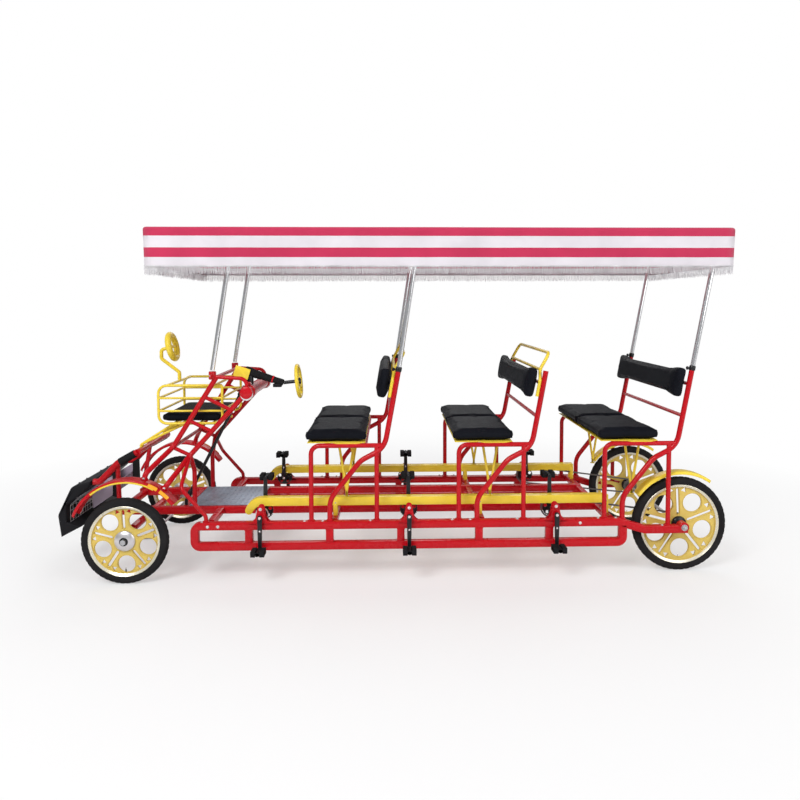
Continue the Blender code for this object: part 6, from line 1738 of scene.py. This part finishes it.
def canopy_frame():
    """The chrome tubes inside the canopy and the six poles with their collars and knobs."""
    z, side_y = CANOPY_EDGE_Z - CANOPY_TUBE_DROP, CANOPY_HALF_WIDTH - CANOPY_TUBE_INSET
    front, rear = CANOPY_X[0] + CANOPY_TUBE_INSET, CANOPY_X[1] - CANOPY_TUBE_INSET
    chrome = [pair(tube([(front, -side_y, z), (rear, -side_y, z)], CANOPY_TUBE_RADIUS))]
    chrome += [across_tube(x, z, side_y, CANOPY_TUBE_RADIUS * CANOPY_CROSS_SHARE)
               for x in (front, POLES[0][1], POLES[1][1], rear)]
    black, clamps = [], []
    for row, ((foot_x, foot_z), top_x, y) in enumerate(POLES):
        foot, top = Vector((foot_x, -y, foot_z)), Vector((top_x, -y, z))
        up = (top - foot).normalized()
        chrome.append(pair(tube([foot, top], POLE_RADIUS, sides=20)))
        if row:
            black.append(pair(lathe(POLE_COLLAR, foot, top - foot)))
            black.append(pair(lathe(KNOB, foot + up * KNOB_RISE, (-1, 0, 0), 16)))
        clamps.append(pair(lathe(POLE_COLLAR, top - up * POLE_COLLAR_DROP, top - foot)))
    shapes = [("chrome", joined(chrome)), ("black", joined(black)), ("steel", joined(clamps))]
    stand_in("canopy_frame", shapes)


def basket():
    """The child basket of rods with its bracket, and its cushion."""
    (x0, x1), (z0, z1), half = BASKET_X, BASKET_Z, BASKET_HALF_WIDTH
    corners = [(x1, z1), (x0, z1), (x0, z0), (x1, z0), (x1, z1)]
    rods, sides = [], [side_tube(-half, corners, BASKET_ROD, BASKET_BEND)]
    for share in BASKET_SHARES:
        z = z0 + (z1 - z0) * share
        sides.append(side_tube(-half, [(x0, z), (x1, z)], BASKET_RODS["side"]))
        rods += [across_tube(x, z, half, BASKET_RODS["end"]) for x in (x0, x1)]
    rods.append(pair(joined(sides)))
    rods += [across_tube(x, z1, half, BASKET_RODS["top"]) for x in (x0 + BASKET_BEND, x1 - BASKET_BEND)]
    level = x1 - x0 - BASKET_BEND * BASKET_LEVEL_END
    bars = [x0 + BASKET_BEND + level * (bar + 0.5) / BASKET_BARS for bar in range(BASKET_BARS)]
    rods += [across_tube(x, z0, half, BASKET_RODS["floor"]) for x in bars]
    foot_x, foot_z = NOSE_REAR[0], NOSE_REAR[1] + NOSE_BAR_RADIUS
    for top_x, spread in zip(bars, BRACKET_SPREAD_SHARES):
        y = -NOSE_TUBE_Y * spread
        line = [(foot_x, y, foot_z), (foot_x, y, foot_z + BRACKET_FOOT), (top_x, y, z0)]
        rods.append(pair(tube(line, BASKET_RODS["strut"], BRACKET_FOOT)))
    rods.append(tube([(x0 + BASKET_SPINE_INSET, 0, z0), (x1, 0, z0)], BASKET_RODS["strut"]))
    stand_in("child_basket", [("yellow", joined(rods))])
    low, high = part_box("basket_cushion")
    size = high - low
    block = padded_block(tuple(size), *BASKET_CUSHION_SHAPE)
    seams = [piping(block, size, s * size.z * SEAM_SHARES[1], SEAM_RODS[1]) for s in (-1, 1)]
    soft_piece("basket_cushion", block, seams, Matrix.Translation((low + high) / 2))


def hand_ring():
    """The child's hand ring on its bent stalk."""
    axis = Vector((math.cos(HAND_RING_LEAN), 0, math.sin(HAND_RING_LEAN)))
    centre, reach = Vector(RING_CENTRE), ACROSS * HAND_RING_RADIUS
    seat_x, seat_z = BASKET_X[0] + BASKET_BEND, BASKET_Z[1] + STALK_SEAT
    bend = [centre.z - HAND_RING_ROD, centre.z - HAND_RING_RADIUS]
    stalk = [centre, *[(RING_STALK_X, 0, z) for z in bend], (seat_x, 0, seat_z + STALK_RISE),
             (seat_x, 0, seat_z)]
    yellow = [hoop(centre, axis, HAND_RING_RADIUS, HAND_RING_ROD, 56, 14),
              tube([centre - reach, centre + reach], RING_BAR_RADIUS), tube(stalk, STALK_RADIUS, STALK_BEND)]
    stand_in("hand_ring", [("yellow", joined(yellow))])


def solids_left():
    """Better finishes for the solids that stay as they are."""
    for name, kind in SOLID_FINISHES.items():
        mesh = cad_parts[name].data
        mesh.materials.clear()
        mesh.materials.append(finish(kind))


# Picture

def mixed(tree, output, *inputs):
    """Two shaders mixed by a share, as the tree's result."""
    mix = add_node(tree, "MixShader")
    for socket, value in zip(mix.inputs, inputs):
        tree.links.new(value, socket)
    tree.links.new(mix.outputs[0], tree.nodes[output].inputs["Surface"])


def floor():
    """The pale floor, which turns white away from the bike."""
    mesh = bpy.data.meshes.new("floor")
    corners = [(x * FLOOR_HALF, y * FLOOR_HALF, 0) for y in (-1, 1) for x in (-1, 1)]
    mesh.from_pydata(corners, [], [(0, 1, 3, 2)])
    ground = bpy.data.objects.new("floor", mesh)
    bpy.context.scene.collection.objects.link(ground)
    material = bpy.data.materials.new("floor")
    material.use_nodes = True
    tree = material.node_tree
    shader = tree.nodes["Principled BSDF"]
    shader.inputs["Base Color"].default_value = (FLOOR_GREY, FLOOR_GREY, FLOOR_GREY, 1)
    shader.inputs["Roughness"].default_value = FLOOR_ROUGHNESS
    distance = add_node(tree, "VectorMath", operation="LENGTH")
    tree.links.new(add_node(tree, "TexCoord").outputs["Object"], distance.inputs[0])
    fade = add_node(tree, "MapRange", value=distance.outputs["Value"], **FLOOR_FADE)
    seen = add_node(tree, "Math", operation="MULTIPLY")
    tree.links.new(fade.outputs["Result"], seen.inputs[0])
    tree.links.new(add_node(tree, "LightPath").outputs["Is Camera Ray"], seen.inputs[1])
    glow = add_node(tree, "Emission", color=(1, 1, 1, 1), strength=1.0)
    mixed(tree, "Material Output", seen.outputs[0], shader.outputs[0], glow.outputs[0])
    mesh.materials.append(material)


def sky():
    """A soft grey sky that is white where the camera sees it."""
    world = bpy.data.worlds.new("studio")
    bpy.context.scene.world = world
    world.use_nodes = True
    tree = world.node_tree
    background = tree.nodes["Background"]
    height = add_node(tree, "SeparateXYZ", vector=add_node(tree, "TexCoord").outputs["Generated"])
    tree.links.new(shades(tree, height.outputs["Z"], *SKY), background.inputs["Color"])
    plain = add_node(tree, "Background", color=(1, 1, 1, 1), strength=1.0)
    seen = add_node(tree, "LightPath").outputs["Is Camera Ray"]
    mixed(tree, "World Output", seen, background.outputs[0], plain.outputs[0])


def studio():
    """The floor, the soft light and the camera at the photograph's view."""
    scene = bpy.context.scene
    scene.view_settings.view_transform = "Standard"
    floor()
    sky()
    for name, place, size, power in AREA_LAMPS:
        lamp = bpy.data.lights.new(name, "AREA")
        lamp.energy = power
        lamp.size = size
        obj = bpy.data.objects.new(name, lamp)
        scene.collection.objects.link(obj)
        obj.location = place
        obj.rotation_euler = (Vector(LAMP_AIM) - Vector(place)).to_track_quat("-Z", "Y").to_euler()
    view = bpy.data.cameras.new("camera")
    view.sensor_width = SENSOR
    view.lens = FOCAL_PIXELS / IMAGE_WIDTH * SENSOR
    view.shift_x = (IMAGE_WIDTH / 2 - CENTRE_PIXELS[0]) / IMAGE_WIDTH
    view.shift_y = (CENTRE_PIXELS[1] - IMAGE_WIDTH / 2) / IMAGE_WIDTH
    camera = bpy.data.objects.new("camera", view)
    scene.collection.objects.link(camera)
    camera.location = CAMERA_PLACE
    camera.rotation_euler = CAMERA_TURN
    scene.camera = camera


studio()
wheels()
side_frames()
cranks()
chain_guards()
chains()
floor_parts()
rear_axle()
steering()
front_frame()
fenders()
nose()
seats()
canopy()
canopy_frame()
basket()
hand_ring()
solids_left()
